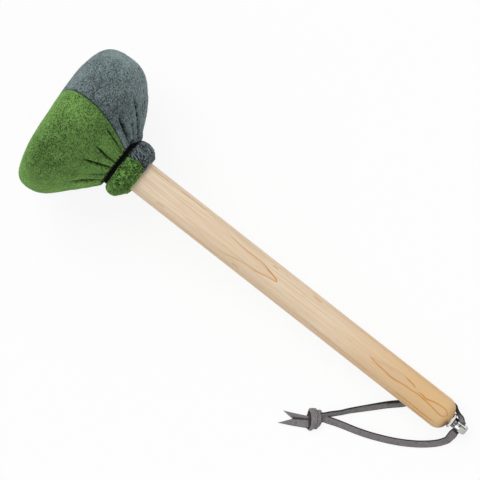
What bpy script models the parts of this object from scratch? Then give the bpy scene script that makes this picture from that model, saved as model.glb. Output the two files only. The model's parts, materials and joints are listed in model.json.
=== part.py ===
# Gong mallet: a maple handle, a padded head under a fleece cover in two colours, and a suede hang loop.
# Metres, +Z up. The mallet lies on a table at Z 0: its head and its butt touch the table, and the lace lies
# beside it. Seen from above, the butt is at -X, the head at +X, the grey side at -Y and the green side at +Y.

import math

import bmesh
import bpy
import numpy as np
from mathutils import Matrix, Vector

# Clearances
FIT = 0.0003            # between two pieces that touch
SWIVEL_GAP = 0.0002     # all round the eye's pin, so that it turns

# Handle: a 1 inch dowel
HANDLE_DIAMETER = 0.0254
HANDLE_VISIBLE = 0.2960     # butt to the cuff's lower edge
BUTT_ROUNDING = 0.0090
CORE_SOCKET_DEPTH = 0.0300  # how far the handle goes into the hub

# Core, its screw and the felt
CORE_DIAMETER = 0.0440
CORE_LENGTH = 0.0440
CORE_START = 0.0320         # cuff's lower edge to the hub
SCREW_DIAMETER = 0.0050
SCREW_GRIP = 0.0250         # length of thread in the handle
SCREW_HEAD_DIAMETER = 0.0090
SCREW_HEAD_HEIGHT = 0.0030
SCREW_HEAD_SIDE = 0.0015        # height of its straight side, below the rounded top
SCREW_HEAD_TOP_DIAMETER = 0.0054
WASHER_DIAMETER = 0.0180
WASHER_THICKNESS = 0.0012
FELT_THICKNESS = 0.0068

# Fleece cover, gathered at the neck and rolled below the cord
COVER_THICKNESS = 0.0030
FACE_HEIGHT = 0.0869        # cuff's lower edge to the middle of the far face
FACE_TILT = math.radians(4.8)
CUFF_THICKNESS = 0.0112     # of the roll, out from the handle
CUFF_LENGTH = 0.0165
CUFF_WIDEST_AT = 0.55       # share of its length at which the roll is widest
CUFF_SHOULDER_AT = 0.84     # share of its length at which it turns in towards the cord
CUFF_TOP_THICKNESS = 0.0095 # beside the cord, out from the handle
NECK_CLOTH = 0.0062         # gathered cloth between the handle and the cord

# Each side of the head runs from the neck over the rim to the middle of the face, on two smooth curves.
# lip: out from the handle at the neck; slope: of the cone, up from square to the handle; the pulls are the
# lengths of the curves' handles.
GREEN_SIDE = {
    "lip": 0.0088, "slope": math.radians(41.7), "neck_pull": 0.0309, "rim_pull_back": 0.0159,
    "rim_radius": 0.0587, "rim_height": 0.0646, "rim_pull_on": 0.0156, "face_pull": 0.0424,
}
GREY_SIDE = {
    "lip": 0.0124, "slope": math.radians(25.0), "neck_pull": 0.0300, "rim_pull_back": 0.0165,
    "rim_radius": 0.0653, "rim_height": 0.0589, "rim_pull_on": 0.0230, "face_pull": 0.0568,
}
SEAM_ROLL = math.radians(20)    # of the front seam; roll 0 faces up and +90 degrees is -Y
PRESSED_FLAT = 0.0015           # how deep the table presses the fleece in
PRESSED_GAP = 0.0009            # between the cover and the padding over that place

# Gathers: rolls of the main creases, counted up from the seam that each half starts at
GREEN_CREASES = [12, 34, 57, 78, 98, 115, 142, 154, 172]
GREY_CREASES = [6, 29, 53, 76, 99, 121, 144, 165]
CREASE_DEPTH = 0.0022
CREASE_HALF_WIDTH = math.radians(4.5)
CREASE_LENGTH = 0.0260      # up the cone from the cord

# Neck cord
NECK_CORD_DIAMETER = 0.00095
NECK_CORD_TURNS = 2
NECK_CORD_GAP = 0.00042     # between neighbouring turns
NECK_KNOT_DIAMETER = 0.0032
NECK_KNOT_ROLL = math.radians(150)
LOOP_POINTS = 24

# Eye on the butt
FLANGE_DIAMETER = 0.0120
FLANGE_THICKNESS = 0.0020
FLANGE_EDGE = 0.0006        # its bevels
SHANK_DIAMETER = 0.0064
SHANK_LENGTH = 0.0220
PIN_DIAMETER = 0.0030
PIN_HEAD_DIAMETER = 0.0044
PIN_HEAD_HEIGHT = 0.0012
PIN_GRIP = 0.0040           # from the flange's outer face to the pin's head
EYE_GAP = 0.0006            # between the flange and the eye
EYE_CENTRE = 0.0079         # out from the wood
EYE_DIAMETER = 0.0124
EYE_HOLE_DIAMETER = 0.0062
EYE_WIDTH = 0.0064
EYE_EDGE = 0.0013           # rounding of its outer edges
EYE_HOLE_EDGE = 0.00065     # bevel round its hole
EYE_COLLAR_DIAMETER = 0.0080
EYE_ROLL = math.radians(19.5)   # its hole points up on the grey side

# Lace: a flat suede strip
LACE_WIDTH = 0.0052
LACE_THICKNESS = 0.0014
LACE_STEP = 0.0060
KNOT_SIZE = (0.0171, 0.0117, 0.0068)
KNOT_ROUNDING = 0.0026
KNOT_PLACE = (0.0823, 0.0642)
KNOT_TURN = math.radians(-51.9)

# The lace's two strands run from the eye to the knot: X, Y and height of the middle of the strip, from the
# point on the table under the end of the wood, and how far the strip is rolled from lying flat, in degrees
UPPER_ROUTE = [
    (-0.0074, -0.0058, 0.0118, -12), (-0.0046, -0.0084, 0.0108, -35), (-0.0004, -0.0101, 0.0084, -55),
    (0.0045, -0.0115, 0.0056, -50), (0.0105, -0.0120, 0.0032, -30), (0.0160, -0.0095, 0.0014, -8),
    (0.0220, -0.0050, 0.0008, 0), (0.0270, 0.0004, 0.0008, 0), (0.0320, 0.0066, 0.0010, 4),
    (0.0374, 0.0132, 0.0019, 22), (0.0451, 0.0206, 0.0023, 34), (0.0555, 0.0318, 0.0025, 42),
    (0.0619, 0.0385, 0.0027, 50), (0.0681, 0.0447, 0.0028, 58), (0.0741, 0.0507, 0.0030, 66),
]
LOWER_ROUTE = [
    (-0.0068, 0.0065, 0.0074, 0), (-0.0056, 0.0112, 0.0046, 0), (-0.0037, 0.0156, 0.0023, 0),
    (-0.0010, 0.0203, 0.0011, 0), (0.0033, 0.0249, 0.0008, 0), (0.0104, 0.0305, 0.0008, 0),
    (0.0179, 0.0356, 0.0008, 0), (0.0260, 0.0400, 0.0008, 0), (0.0344, 0.0440, 0.0008, 0),
    (0.0430, 0.0478, 0.0008, 0), (0.0521, 0.0510, 0.0008, 0), (0.0616, 0.0537, 0.0009, 0),
    (0.0677, 0.0559, 0.0010, 0), (0.0730, 0.0581, 0.0012, 0),
]
KNOT_ENTRIES = {"upper": (0.0046, 0.0032, 70), "lower": (-0.0004, 0.0013, 0)}   # along the knot, height, roll

# The pointed ends of the lace, as they lie on the table: X, Y corners from the same point
UPPER_TAIL = [(0.0899, 0.0645), (0.0963, 0.0687), (0.1019, 0.0715), (0.1051, 0.0734), (0.0975, 0.0734),
              (0.0923, 0.0712), (0.0869, 0.0684)]
LOWER_TAIL = [(0.0864, 0.0689), (0.0930, 0.0729), (0.0978, 0.0766), (0.1027, 0.0836), (0.0977, 0.0818),
              (0.0924, 0.0786), (0.0870, 0.0755), (0.0831, 0.0731)]

# Steps round a turned piece, along its rounded corners and round its small edges
TURN_STEPS = 40
SMALL_TURN_STEPS = 28
CORNER_STEPS = 8
CUFF_STEPS = 5
EDGE_STEPS = 3

# Steps of the cover, up the cone and over the face. Its steps up the cone are closer near the neck. The padding
# shares the inner ones, and the face pad begins at one of them.
CONE_STEPS = 9
FACE_STEPS = 7
CONE_EASE = 1.4
INNER_CONE_STEPS = 6
INNER_FACE_STEPS = 5
FACE_PAD_STEP = 3

# Steps that find where the head touches the table
PROFILE_STEPS = 60
TILT_HALVINGS = 50

# Points of a smooth route between two of its own points
ROUTE_STEPS = 16

# Modelling tolerances
MERGE_DISTANCE = 1e-7
SMOOTH_ANGLE = math.radians(40)

# Worked out from the sizes above
HANDLE_RADIUS = HANDLE_DIAMETER / 2
CORE_RADIUS = CORE_DIAMETER / 2
CORE_FRONT = CORE_START + CORE_LENGTH
FELT_RADIUS = CORE_RADIUS + FIT + FELT_THICKNESS
NECK_RADIUS = HANDLE_RADIUS + NECK_CLOTH
NECK_CORD_PITCH = NECK_CORD_DIAMETER + NECK_CORD_GAP
GROOVE_WIDTH = NECK_CORD_TURNS * NECK_CORD_PITCH + NECK_CORD_DIAMETER + 2 * FIT
GROOVE_END = CUFF_LENGTH + GROOVE_WIDTH


def clear_scene():
    for obj in list(bpy.data.objects):
        bpy.data.objects.remove(obj, do_unlink=True)


def material(name, colour, roughness, metallic=0.0):
    mat = bpy.data.materials.new(name)
    mat.use_nodes = True
    shader = mat.node_tree.nodes["Principled BSDF"]
    shader.inputs["Base Color"].default_value = (*colour, 1.0)
    shader.inputs["Roughness"].default_value = roughness
    shader.inputs["Metallic"].default_value = metallic
    return mat


def empty(name, parent=None):
    obj = bpy.data.objects.new(name, None)
    bpy.context.collection.objects.link(obj)
    obj.parent = parent
    return obj


def finish(name, bm, mat, parent):
    """Turn a bmesh into a named object with outward faces."""
    bmesh.ops.remove_doubles(bm, verts=bm.verts, dist=MERGE_DISTANCE)
    bmesh.ops.dissolve_degenerate(bm, edges=bm.edges, dist=MERGE_DISTANCE)
    bmesh.ops.recalc_face_normals(bm, faces=bm.faces)
    mesh = bpy.data.meshes.new(name)
    bm.to_mesh(mesh)
    bm.free()
    mesh.shade_smooth()
    mesh.set_sharp_from_angle(angle=SMOOTH_ANGLE)
    mesh.materials.append(mat)
    obj = bpy.data.objects.new(name, mesh)
    bpy.context.collection.objects.link(obj)
    obj.parent = parent
    return obj


def turned(name, profile, mat, parent, steps=TURN_STEPS, closed=False):
    """Spin an outline of (along, radius) points round the X axis. A closed outline makes a ring."""
    bm = bmesh.new()
    verts = [bm.verts.new((along, 0.0, radius)) for along, radius in profile]
    edges = [bm.edges.new(pair) for pair in zip(verts, verts[1:])]
    if closed:
        edges.append(bm.edges.new((verts[-1], verts[0])))
    bmesh.ops.spin(bm, geom=verts + edges, cent=(0, 0, 0), axis=(1, 0, 0), angle=math.tau, steps=steps)
    return finish(name, bm, mat, parent)


def lofted(name, rings, mat, parent, closed):
    """Join rings of points, each the outline at one roll. Open lofts get their two end faces."""
    bm = bmesh.new()
    columns = [[bm.verts.new(point) for point in ring] for ring in rings]
    pairs = list(zip(columns, columns[1:]))
    if closed:
        pairs.append((columns[-1], columns[0]))
    for left, right in pairs:
        for i in range(len(left)):
            j = (i + 1) % len(left)
            bm.faces.new((left[i], left[j], right[j], right[i]))
    if not closed:
        bm.faces.new(columns[0])
        bm.faces.new(columns[-1][::-1])
    return finish(name, bm, mat, parent)


def arc(centre_along, centre_radius, radius, start, end, steps):
    """Points of an arc in an outline, from one angle to another, counted from the X axis."""
    angles = np.linspace(start, end, steps + 1)
    return [(centre_along + radius * math.cos(a), centre_radius + radius * math.sin(a)) for a in angles]


def bezier(start, pull_start, pull_end, end, steps, ease=1.0):
    """Points of a cubic curve. An ease over 1 puts more of them near its start."""
    t = np.linspace(0.0, 1.0, steps + 1)[:, None] ** ease
    start, pull_start, pull_end, end = (np.array(p) for p in (start, pull_start, pull_end, end))
    near_start = (1 - t) ** 3 * start + 3 * (1 - t) ** 2 * t * pull_start
    return near_start + 3 * (1 - t) * t ** 2 * pull_end + t ** 3 * end


def greyness(roll):
    """1 in the middle of the grey side, 0 in the middle of the green side."""
    return 0.5 + 0.5 * math.cos(roll - SEAM_ROLL - math.pi / 2)


def head_outline(roll, inset=0.0, cone_steps=CONE_STEPS, face_steps=FACE_STEPS):
    """Points (radius, height) from the neck over the rim to the middle of the far face, moved in by inset."""
    grey = greyness(roll)
    side = {key: GREEN_SIDE[key] + grey * (GREY_SIDE[key] - GREEN_SIDE[key]) for key in GREEN_SIDE}
    tilt = math.tan(FACE_TILT) * (2 * grey - 1)
    neck = np.array((HANDLE_RADIUS + side["lip"], GROOVE_END))
    rim = np.array((side["rim_radius"], side["rim_height"]))
    face = np.array((0.0, FACE_HEIGHT))
    up_cone = np.array((math.cos(side["slope"]), math.sin(side["slope"])))
    cone = bezier(neck, neck + side["neck_pull"] * up_cone, rim - (0, side["rim_pull_back"]), rim, cone_steps,
                  CONE_EASE)
    crown = bezier(rim, rim + (0, side["rim_pull_on"]), face + side["face_pull"] * np.array((1, tilt)), face,
                   face_steps)
    points = np.vstack([cone, crown[1:]])
    along = np.gradient(points, axis=0)
    along /= np.linalg.norm(along, axis=1)[:, None]
    inward = np.stack([-along[:, 1], along[:, 0]], axis=1)
    points = points + inset * inward
    points[-1] = (0.0, FACE_HEIGHT - inset)
    return points


def on_axis(radius, height, roll):
    """A point of the head: height up the handle from the cuff's lower edge, at a radius and a roll."""
    return (HANDLE_VISIBLE + height, -radius * math.sin(roll), radius * math.cos(roll))


def lowest(tilt):
    """How low the head and the butt reach below the butt's centre, with the head raised by tilt."""
    outline = head_outline(math.pi, cone_steps=PROFILE_STEPS, face_steps=PROFILE_STEPS)
    head = math.sin(tilt) * (HANDLE_VISIBLE + outline[:, 1]) - math.cos(tilt) * outline[:, 0]
    butt = math.sin(tilt) * BUTT_ROUNDING - math.cos(tilt) * (HANDLE_RADIUS - BUTT_ROUNDING) - BUTT_ROUNDING
    return head.min(), butt


def resting_tilt():
    """The tilt at which the head, pressed flat, and the butt both touch the table."""
    low, high = 0.0, math.radians(45)
    for _ in range(TILT_HALVINGS):
        tilt = (low + high) / 2
        head, butt = lowest(tilt)
        if head + PRESSED_FLAT < butt:
            low = tilt
        else:
            high = tilt
    return tilt


TILT = resting_tilt()
AXIS_HEIGHT = -lowest(TILT)[1]


def settled(points, floor):
    """Lift the points that would be lower than floor over the table."""
    height = AXIS_HEIGHT + math.sin(TILT) * points[:, 0] + math.cos(TILT) * points[:, 2]
    points[:, 2] += np.maximum(floor - height, 0.0) / math.cos(TILT)
    return points


def crease_depths(height, roll, creases):
    """How deep the gathers are at a height and a roll: a notch across, fading out up the cone."""
    depth = 0.0
    for crease in creases:
        across = abs(roll - crease) / CREASE_HALF_WIDTH
        depth = max(depth, 1.0 - across)
    fade = np.clip(1.0 - (height - GROOVE_END) / CREASE_LENGTH, 0.0, 1.0)
    return CREASE_DEPTH * depth * fade


def half_rolls(start, creases):
    """Rolls of a half cover's columns: three at each crease, one between creases and one at each seam."""
    middles = [math.radians(c) for c in creases]
    rolls = [0.0, math.pi]
    for middle in middles:
        rolls += [middle - CREASE_HALF_WIDTH, middle, middle + CREASE_HALF_WIDTH]
    for left, right in zip(middles, middles[1:]):
        if right - left > 3 * CREASE_HALF_WIDTH:
            rolls.append((left + right) / 2)
    rolls = sorted(r for r in rolls if 0.0 <= r <= math.pi)
    return [start + r for r in rolls], [start + m for m in middles]


def half_points(outline, roll, start, floor):
    """A half piece's points at one roll, off the seam plane by half a clearance and no lower than floor."""
    middle = start + math.pi / 2
    shift = np.array((0.0, -math.sin(middle), math.cos(middle))) * FIT / 2
    return settled(np.array([on_axis(r, h, roll) for r, h in outline]) + shift, floor)


def cuff_outline():
    """Points (radius, height) of the rolled cuff and the groove for the cord, from the handle outwards."""
    inner = HANDLE_RADIUS + FIT
    widest = CUFF_WIDEST_AT * CUFF_LENGTH
    points = []
    for angle in np.linspace(0.0, math.pi / 2, CUFF_STEPS + 1):
        points.append((inner + CUFF_THICKNESS * math.sin(angle), widest * (1 - math.cos(angle))))
    points.append((inner + CUFF_THICKNESS, CUFF_SHOULDER_AT * CUFF_LENGTH))
    points.append((HANDLE_RADIUS + CUFF_TOP_THICKNESS, CUFF_LENGTH))
    points.append((NECK_RADIUS, CUFF_LENGTH))
    points.append((NECK_RADIUS, GROOVE_END))
    return np.array(points)


def cover_half(name, start, creases, mat, parent):
    """One fleece half: the cuff, the neck, the gathered cone, the rim and half of the far face."""
    rolls, middles = half_rolls(start, creases)
    rings = []
    for roll in rolls:
        outer = head_outline(roll)
        outer[:, 0] -= crease_depths(outer[:, 1], roll, middles)
        inner = head_outline(roll, COVER_THICKNESS, INNER_CONE_STEPS, INNER_FACE_STEPS)
        inner[0] = (HANDLE_RADIUS + FIT, GROOVE_END)
        outside = half_points(np.vstack([cuff_outline(), outer]), roll, start, 0.0)
        inside = half_points(inner[::-1], roll, start, COVER_THICKNESS)
        rings.append(np.vstack([outside, inside]))
    return lofted(name, rings, mat, parent, closed=False)


def padding_skin(roll):
    """The line that the padding fills under the cover: the side pad's stretch and the face pad's."""
    line = head_outline(roll, COVER_THICKNESS + FIT, INNER_CONE_STEPS, INNER_FACE_STEPS)
    split = INNER_CONE_STEPS + FACE_PAD_STEP
    return line[1:split + 1], line[split:]


def half_pad(name, start, creases, mat, parent):
    """The padding of one side, between the felt and the cover, down to the handle at the neck."""
    rings = []
    for roll in half_rolls(start, creases)[0]:
        skin = padding_skin(roll)[0]
        back = CORE_START - FIT
        inside = [(skin[-1, 0], CORE_FRONT), (FELT_RADIUS + FIT, CORE_FRONT), (FELT_RADIUS + FIT, back),
                  (HANDLE_RADIUS + FIT, back), (HANDLE_RADIUS + FIT, skin[0, 1])]
        rings.append(half_points(np.vstack([skin, inside]), roll, start, COVER_THICKNESS + PRESSED_GAP))
    return lofted(name, rings, mat, parent, closed=False)


def face_pad(mat, parent):
    """The disc that fills the far face, hollowed behind for the washer and the screw head."""
    seat = CORE_FRONT + FIT
    hollow_radius = WASHER_DIAMETER / 2 + FIT
    hollow_top = seat + WASHER_THICKNESS + SCREW_HEAD_HEIGHT + 2 * FIT
    green_rolls = half_rolls(SEAM_ROLL - math.pi, GREEN_CREASES)[0]
    grey_rolls = half_rolls(SEAM_ROLL, GREY_CREASES)[0]
    rings = []
    for roll in green_rolls[:-1] + grey_rolls[:-1]:
        skin = padding_skin(roll)[1]
        rim = skin[0, 0] - FIT
        outline = [(0.0, hollow_top), (hollow_radius, hollow_top), (hollow_radius, seat), (rim, seat),
                   (rim, skin[0, 1])] + [tuple(point) for point in skin[1:]]
        rings.append([on_axis(r, h, roll) for r, h in outline])
    return lofted("face_pad", rings, mat, parent, closed=True)


def handle(mat, parent):
    end = HANDLE_VISIBLE + CORE_START + CORE_SOCKET_DEPTH
    butt_bore = SHANK_DIAMETER / 2 + FIT
    screw_bore = SCREW_DIAMETER / 2 + FIT
    corner = arc(BUTT_ROUNDING, HANDLE_RADIUS - BUTT_ROUNDING, BUTT_ROUNDING, math.pi, math.pi / 2,
                 CORNER_STEPS)
    outline = [(SHANK_LENGTH + FIT, 0.0), (SHANK_LENGTH + FIT, butt_bore), (0.0, butt_bore)] + corner
    outline += [(end, HANDLE_RADIUS), (end, screw_bore), (end - SCREW_GRIP - FIT, screw_bore),
                (end - SCREW_GRIP - FIT, 0.0)]
    return turned("handle_shaft", outline, mat, parent)


def core(mat, parent):
    back = HANDLE_VISIBLE + CORE_START
    front = HANDLE_VISIBLE + CORE_FRONT
    socket = HANDLE_RADIUS + FIT
    socket_end = back + CORE_SOCKET_DEPTH + FIT
    screw_bore = SCREW_DIAMETER / 2 + FIT
    outline = [(back, socket), (back, CORE_RADIUS), (front, CORE_RADIUS), (front, screw_bore),
               (socket_end, screw_bore), (socket_end, socket)]
    return turned("head_core", outline, mat, parent, closed=True)


def core_screw(mat, parent):
    seat = HANDLE_VISIBLE + CORE_FRONT + WASHER_THICKNESS + 2 * FIT
    tip = HANDLE_VISIBLE + CORE_START + CORE_SOCKET_DEPTH - SCREW_GRIP
    radius = SCREW_DIAMETER / 2
    head = SCREW_HEAD_DIAMETER / 2
    outline = [(tip, 0.0), (tip + radius, radius), (seat, radius), (seat, head), (seat + SCREW_HEAD_SIDE, head),
               (seat + SCREW_HEAD_HEIGHT, SCREW_HEAD_TOP_DIAMETER / 2), (seat + SCREW_HEAD_HEIGHT, 0.0)]
    return turned("core_screw", outline, mat, parent, SMALL_TURN_STEPS)


def core_washer(mat, parent):
    back = HANDLE_VISIBLE + CORE_FRONT + FIT
    front = back + WASHER_THICKNESS
    bore = SCREW_DIAMETER / 2 + FIT
    rim = WASHER_DIAMETER / 2
    outline = [(back, bore), (back, rim), (front, rim), (front, bore)]
    return turned("core_washer", outline, mat, parent, SMALL_TURN_STEPS, closed=True)


def felt_wrap(mat, parent):
    back = HANDLE_VISIBLE + CORE_START
    front = HANDLE_VISIBLE + CORE_FRONT
    outline = [(back, CORE_RADIUS + FIT), (back, FELT_RADIUS), (front, FELT_RADIUS), (front, CORE_RADIUS + FIT)]
    return turned("felt_wrap", outline, mat, parent, closed=True)


def round_tube(name, points, diameter, resolution, mat, parent):
    """A curve object with a round section and filled ends."""
    curve = bpy.data.curves.new(name, "CURVE")
    curve.dimensions = "3D"
    curve.bevel_depth = diameter / 2
    curve.bevel_resolution = resolution
    curve.use_fill_caps = True
    spline = curve.splines.new("POLY")
    spline.points.add(len(points) - 1)
    for point, place in zip(spline.points, points):
        point.co = (*place, 1.0)
    curve.materials.append(mat)
    obj = bpy.data.objects.new(name, curve)
    bpy.context.collection.objects.link(obj)
    obj.parent = parent
    return obj


def neck_cord_path():
    """The winding: a helix in the groove, with a straight end of one diameter each way."""
    half_step = math.pi / LOOP_POINTS
    radius = (NECK_RADIUS + FIT) / math.cos(half_step) + NECK_CORD_DIAMETER / 2
    first = CUFF_LENGTH + FIT + NECK_CORD_DIAMETER / 2
    points = []
    for i in range(NECK_CORD_TURNS * LOOP_POINTS + 1):
        turn = i / LOOP_POINTS
        points.append(on_axis(radius, first + turn * NECK_CORD_PITCH, NECK_KNOT_ROLL + turn * math.tau))
    points = np.array(points)
    start = points[0] + NECK_CORD_DIAMETER * (points[0] - points[1]) / np.linalg.norm(points[0] - points[1])
    end = points[-1] + NECK_CORD_DIAMETER * (points[-1] - points[-2]) / np.linalg.norm(points[-1] - points[-2])
    return np.vstack([start, points, end])


def least_gap(points, diameter):
    """The least space between one turn of a winding and the next, measured on its points."""
    least = math.inf
    for i in range(len(points)):
        for j in range(i + LOOP_POINTS // 2, len(points)):
            least = min(least, np.linalg.norm(points[i] - points[j]) - diameter)
    return least


def neck_cord(mat, parent):
    path = neck_cord_path()
    print("neck cord's least gap to itself, mm:", round(1000 * least_gap(path, NECK_CORD_DIAMETER), 3))
    round_tube("neck_cord", path, NECK_CORD_DIAMETER, 1, mat, parent)
    bm = bmesh.new()
    bmesh.ops.create_uvsphere(bm, u_segments=2 * CORNER_STEPS, v_segments=CORNER_STEPS,
                              radius=NECK_KNOT_DIAMETER / 2)
    knot = finish("neck_cord_knot", bm, mat, parent)
    over_cord = (NECK_RADIUS + FIT) / math.cos(math.pi / LOOP_POINTS) + NECK_CORD_DIAMETER + FIT
    radius = over_cord + NECK_KNOT_DIAMETER / 2
    knot.location = on_axis(radius, CUFF_LENGTH + GROOVE_WIDTH / 2, NECK_KNOT_ROLL)
    return knot


def eye_base(mat, parent):
    """The flange on the butt and its wood screw, bored for the eye's pin and hollow behind for its head."""
    inner_face = -FIT
    outer_face = -FIT - FLANGE_THICKNESS
    rim = FLANGE_DIAMETER / 2
    bore = PIN_DIAMETER / 2 + SWIVEL_GAP
    chamber = PIN_HEAD_DIAMETER / 2 + SWIVEL_GAP
    chamber_start = outer_face + PIN_GRIP - SWIVEL_GAP
    chamber_end = outer_face + PIN_GRIP + PIN_HEAD_HEIGHT + SWIVEL_GAP
    shank = SHANK_DIAMETER / 2
    outline = [(chamber_end, 0.0), (chamber_end, chamber), (chamber_start, chamber), (chamber_start, bore),
               (outer_face, bore), (outer_face, rim - FLANGE_EDGE), (outer_face + FLANGE_EDGE, rim),
               (inner_face - FLANGE_EDGE, rim), (inner_face, rim - FLANGE_EDGE), (inner_face, shank),
               (SHANK_LENGTH - SHANK_DIAMETER, shank), (SHANK_LENGTH, 0.0)]
    return turned("eye_base", outline, mat, parent, SMALL_TURN_STEPS)


def hidden_cutter(obj):
    obj.hide_render = True
    obj.display_type = "WIRE"
    return obj


def boolean(obj, tool, operation):
    modifier = obj.modifiers.new(tool.name, "BOOLEAN")
    modifier.operation = operation
    modifier.solver = "EXACT"
    modifier.object = tool


def eye(mat, parent):
    """The eye: a thick ring cut flat towards the flange, with a round collar and a pin that has a head."""
    outer_face = -FIT - FLANGE_THICKNESS
    foot = outer_face - EYE_GAP
    pin = PIN_DIAMETER / 2
    collar_top = -(EYE_CENTRE - EYE_HOLE_DIAMETER / 2) + 2 * FIT
    outline = [(outer_face + PIN_GRIP + PIN_HEAD_HEIGHT, 0.0),
               (outer_face + PIN_GRIP + PIN_HEAD_HEIGHT, PIN_HEAD_DIAMETER / 2),
               (outer_face + PIN_GRIP, PIN_HEAD_DIAMETER / 2), (outer_face + PIN_GRIP, pin), (foot, pin),
               (foot, EYE_COLLAR_DIAMETER / 2), (collar_top, EYE_COLLAR_DIAMETER / 2), (collar_top, 0.0)]
    swivel = turned("eye_swivel", outline, mat, parent, SMALL_TURN_STEPS)

    half = EYE_WIDTH / 2
    outer = EYE_DIAMETER / 2
    hole = EYE_HOLE_DIAMETER / 2
    section = arc(half - EYE_EDGE, outer - EYE_EDGE, EYE_EDGE, 0.0, math.pi / 2, EDGE_STEPS)
    section += arc(EYE_EDGE - half, outer - EYE_EDGE, EYE_EDGE, math.pi / 2, math.pi, EDGE_STEPS)
    section += [(-half, hole + EYE_HOLE_EDGE), (EYE_HOLE_EDGE - half, hole), (half - EYE_HOLE_EDGE, hole),
                (half, hole + EYE_HOLE_EDGE)]
    ring = hidden_cutter(turned("eye_ring", section, mat, parent, closed=True))
    ring.location = (-EYE_CENTRE, 0.0, 0.0)
    across = Vector((0.0, -math.cos(EYE_ROLL), math.sin(EYE_ROLL)))
    ring.rotation_euler = across.to_track_quat("X", "Z").to_euler()

    bm = bmesh.new()
    bmesh.ops.create_cube(bm, size=2 * EYE_DIAMETER)
    slab = hidden_cutter(finish("eye_slab", bm, mat, parent))
    slab.location = (foot + EYE_DIAMETER, 0.0, 0.0)
    boolean(ring, slab, "DIFFERENCE")
    boolean(swivel, ring, "UNION")
    return swivel


def smooth_route(points):
    """Evenly spaced places on a smooth curve through a route's own points. Its two end stretches stay."""
    points = np.array(points)
    t = np.linspace(0.0, 1.0, ROUTE_STEPS, endpoint=False)[:, None]
    pieces = []
    for a, b, c, d in zip(points, points[1:], points[2:], points[3:]):
        pieces.append(0.5 * (2 * b + (c - a) * t + (2 * a - 5 * b + 4 * c - d) * t ** 2
                             + (3 * b - a - 3 * c + d) * t ** 3))
    dense = np.vstack(pieces + [points[-2:-1]])
    steps = np.linalg.norm(np.diff(dense[:, :3], axis=0), axis=1)
    count = max(2, round(steps.sum() / LACE_STEP) + 1)
    travelled = np.append(0.0, np.cumsum(steps))
    wanted = np.linspace(0.0, travelled[-1], count)
    middle = np.stack([np.interp(wanted, travelled, dense[:, i]) for i in range(4)], axis=1)
    return np.vstack([points[:1], middle, points[-1:]])


def lace_strand(name, route, mat, parent):
    """A flat strip with rounded edges along a route of places and rolls."""
    places = smooth_route(route)
    strand = round_tube(name, places[:, :3], LACE_THICKNESS, 2, mat, parent)
    strand.data.extrude = (LACE_WIDTH - LACE_THICKNESS) / 2
    strand.data.twist_mode = "Z_UP"
    for point, roll in zip(strand.data.splines[0].points, places[:, 3]):
        point.tilt = math.pi / 2 + math.radians(roll)
    length = np.linalg.norm(np.diff(places[:, :3], axis=0), axis=1).sum()
    print(name, "length, mm:", round(1000 * length, 1))
    return strand


def eye_points(side):
    """The strip's first two places, in and just out of the eye's hole, on one side of it."""
    turn = Matrix.Rotation(-TILT, 3, "Y")
    centre = turn @ Vector((-EYE_CENTRE, 0.0, 0.0)) + Vector((0.0, 0.0, AXIS_HEIGHT))
    out = turn @ Vector((0.0, -math.cos(EYE_ROLL), math.sin(EYE_ROLL))) * side
    return [(*(centre + out * reach), 0.0) for reach in (FIT / 2, EYE_WIDTH / 2)]


def knot_entry(side):
    """Where a strand meets the knot, square to its face: one place off the knot and one at it."""
    along, height, roll = KNOT_ENTRIES[side]
    long_way = np.array((math.cos(KNOT_TURN), math.sin(KNOT_TURN)))
    short_way = np.array((long_way[1], -long_way[0]))
    places = []
    for gap in (LACE_WIDTH / 2, FIT):
        place = np.array(KNOT_PLACE) + along * long_way + (KNOT_SIZE[1] / 2 + gap) * short_way
        places.append((*place, height, roll))
    return places


def flat_piece(name, corners, mat, parent):
    """A flat strip of lace on the table, cut to an outline."""
    bm = bmesh.new()
    face = bm.faces.new([bm.verts.new((x, y, FIT)) for x, y in corners])
    side = bmesh.ops.extrude_face_region(bm, geom=[face])
    raised = [item for item in side["geom"] if isinstance(item, bmesh.types.BMVert)]
    bmesh.ops.translate(bm, verts=raised, vec=(0.0, 0.0, LACE_THICKNESS))
    return finish(name, bm, mat, parent)


def lace_knot(mat, parent):
    bm = bmesh.new()
    bmesh.ops.create_cube(bm, size=1.0)
    bmesh.ops.scale(bm, vec=KNOT_SIZE, verts=bm.verts)
    knot = finish("lace_knot", bm, mat, parent)
    knot.location = (*KNOT_PLACE, KNOT_SIZE[2] / 2 + FIT)
    knot.rotation_euler = (0.0, 0.0, KNOT_TURN)
    rounding = knot.modifiers.new("rounding", "BEVEL")
    rounding.width = KNOT_ROUNDING
    rounding.segments = EDGE_STEPS
    return knot


def centre_on(root, names):
    """Put the root empty so that the named objects' box is centred on X and Y 0."""
    bpy.context.view_layer.update()
    graph = bpy.context.evaluated_depsgraph_get()
    corners = []
    for name in names:
        obj = bpy.data.objects[name].evaluated_get(graph)
        mesh = obj.to_mesh()
        corners += [obj.matrix_world @ vert.co for vert in mesh.vertices]
        obj.to_mesh_clear()
    corners = np.array(corners)
    middle = (corners.min(axis=0) + corners.max(axis=0)) / 2
    root.location = (-middle[0], -middle[1], 0.0)
    print("root", [round(v, 6) for v in root.location], "tilt", round(math.degrees(TILT), 4),
          "axis height", round(AXIS_HEIGHT, 6))
    print("size without the lace", (corners.max(axis=0) - corners.min(axis=0)).round(5))


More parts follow.
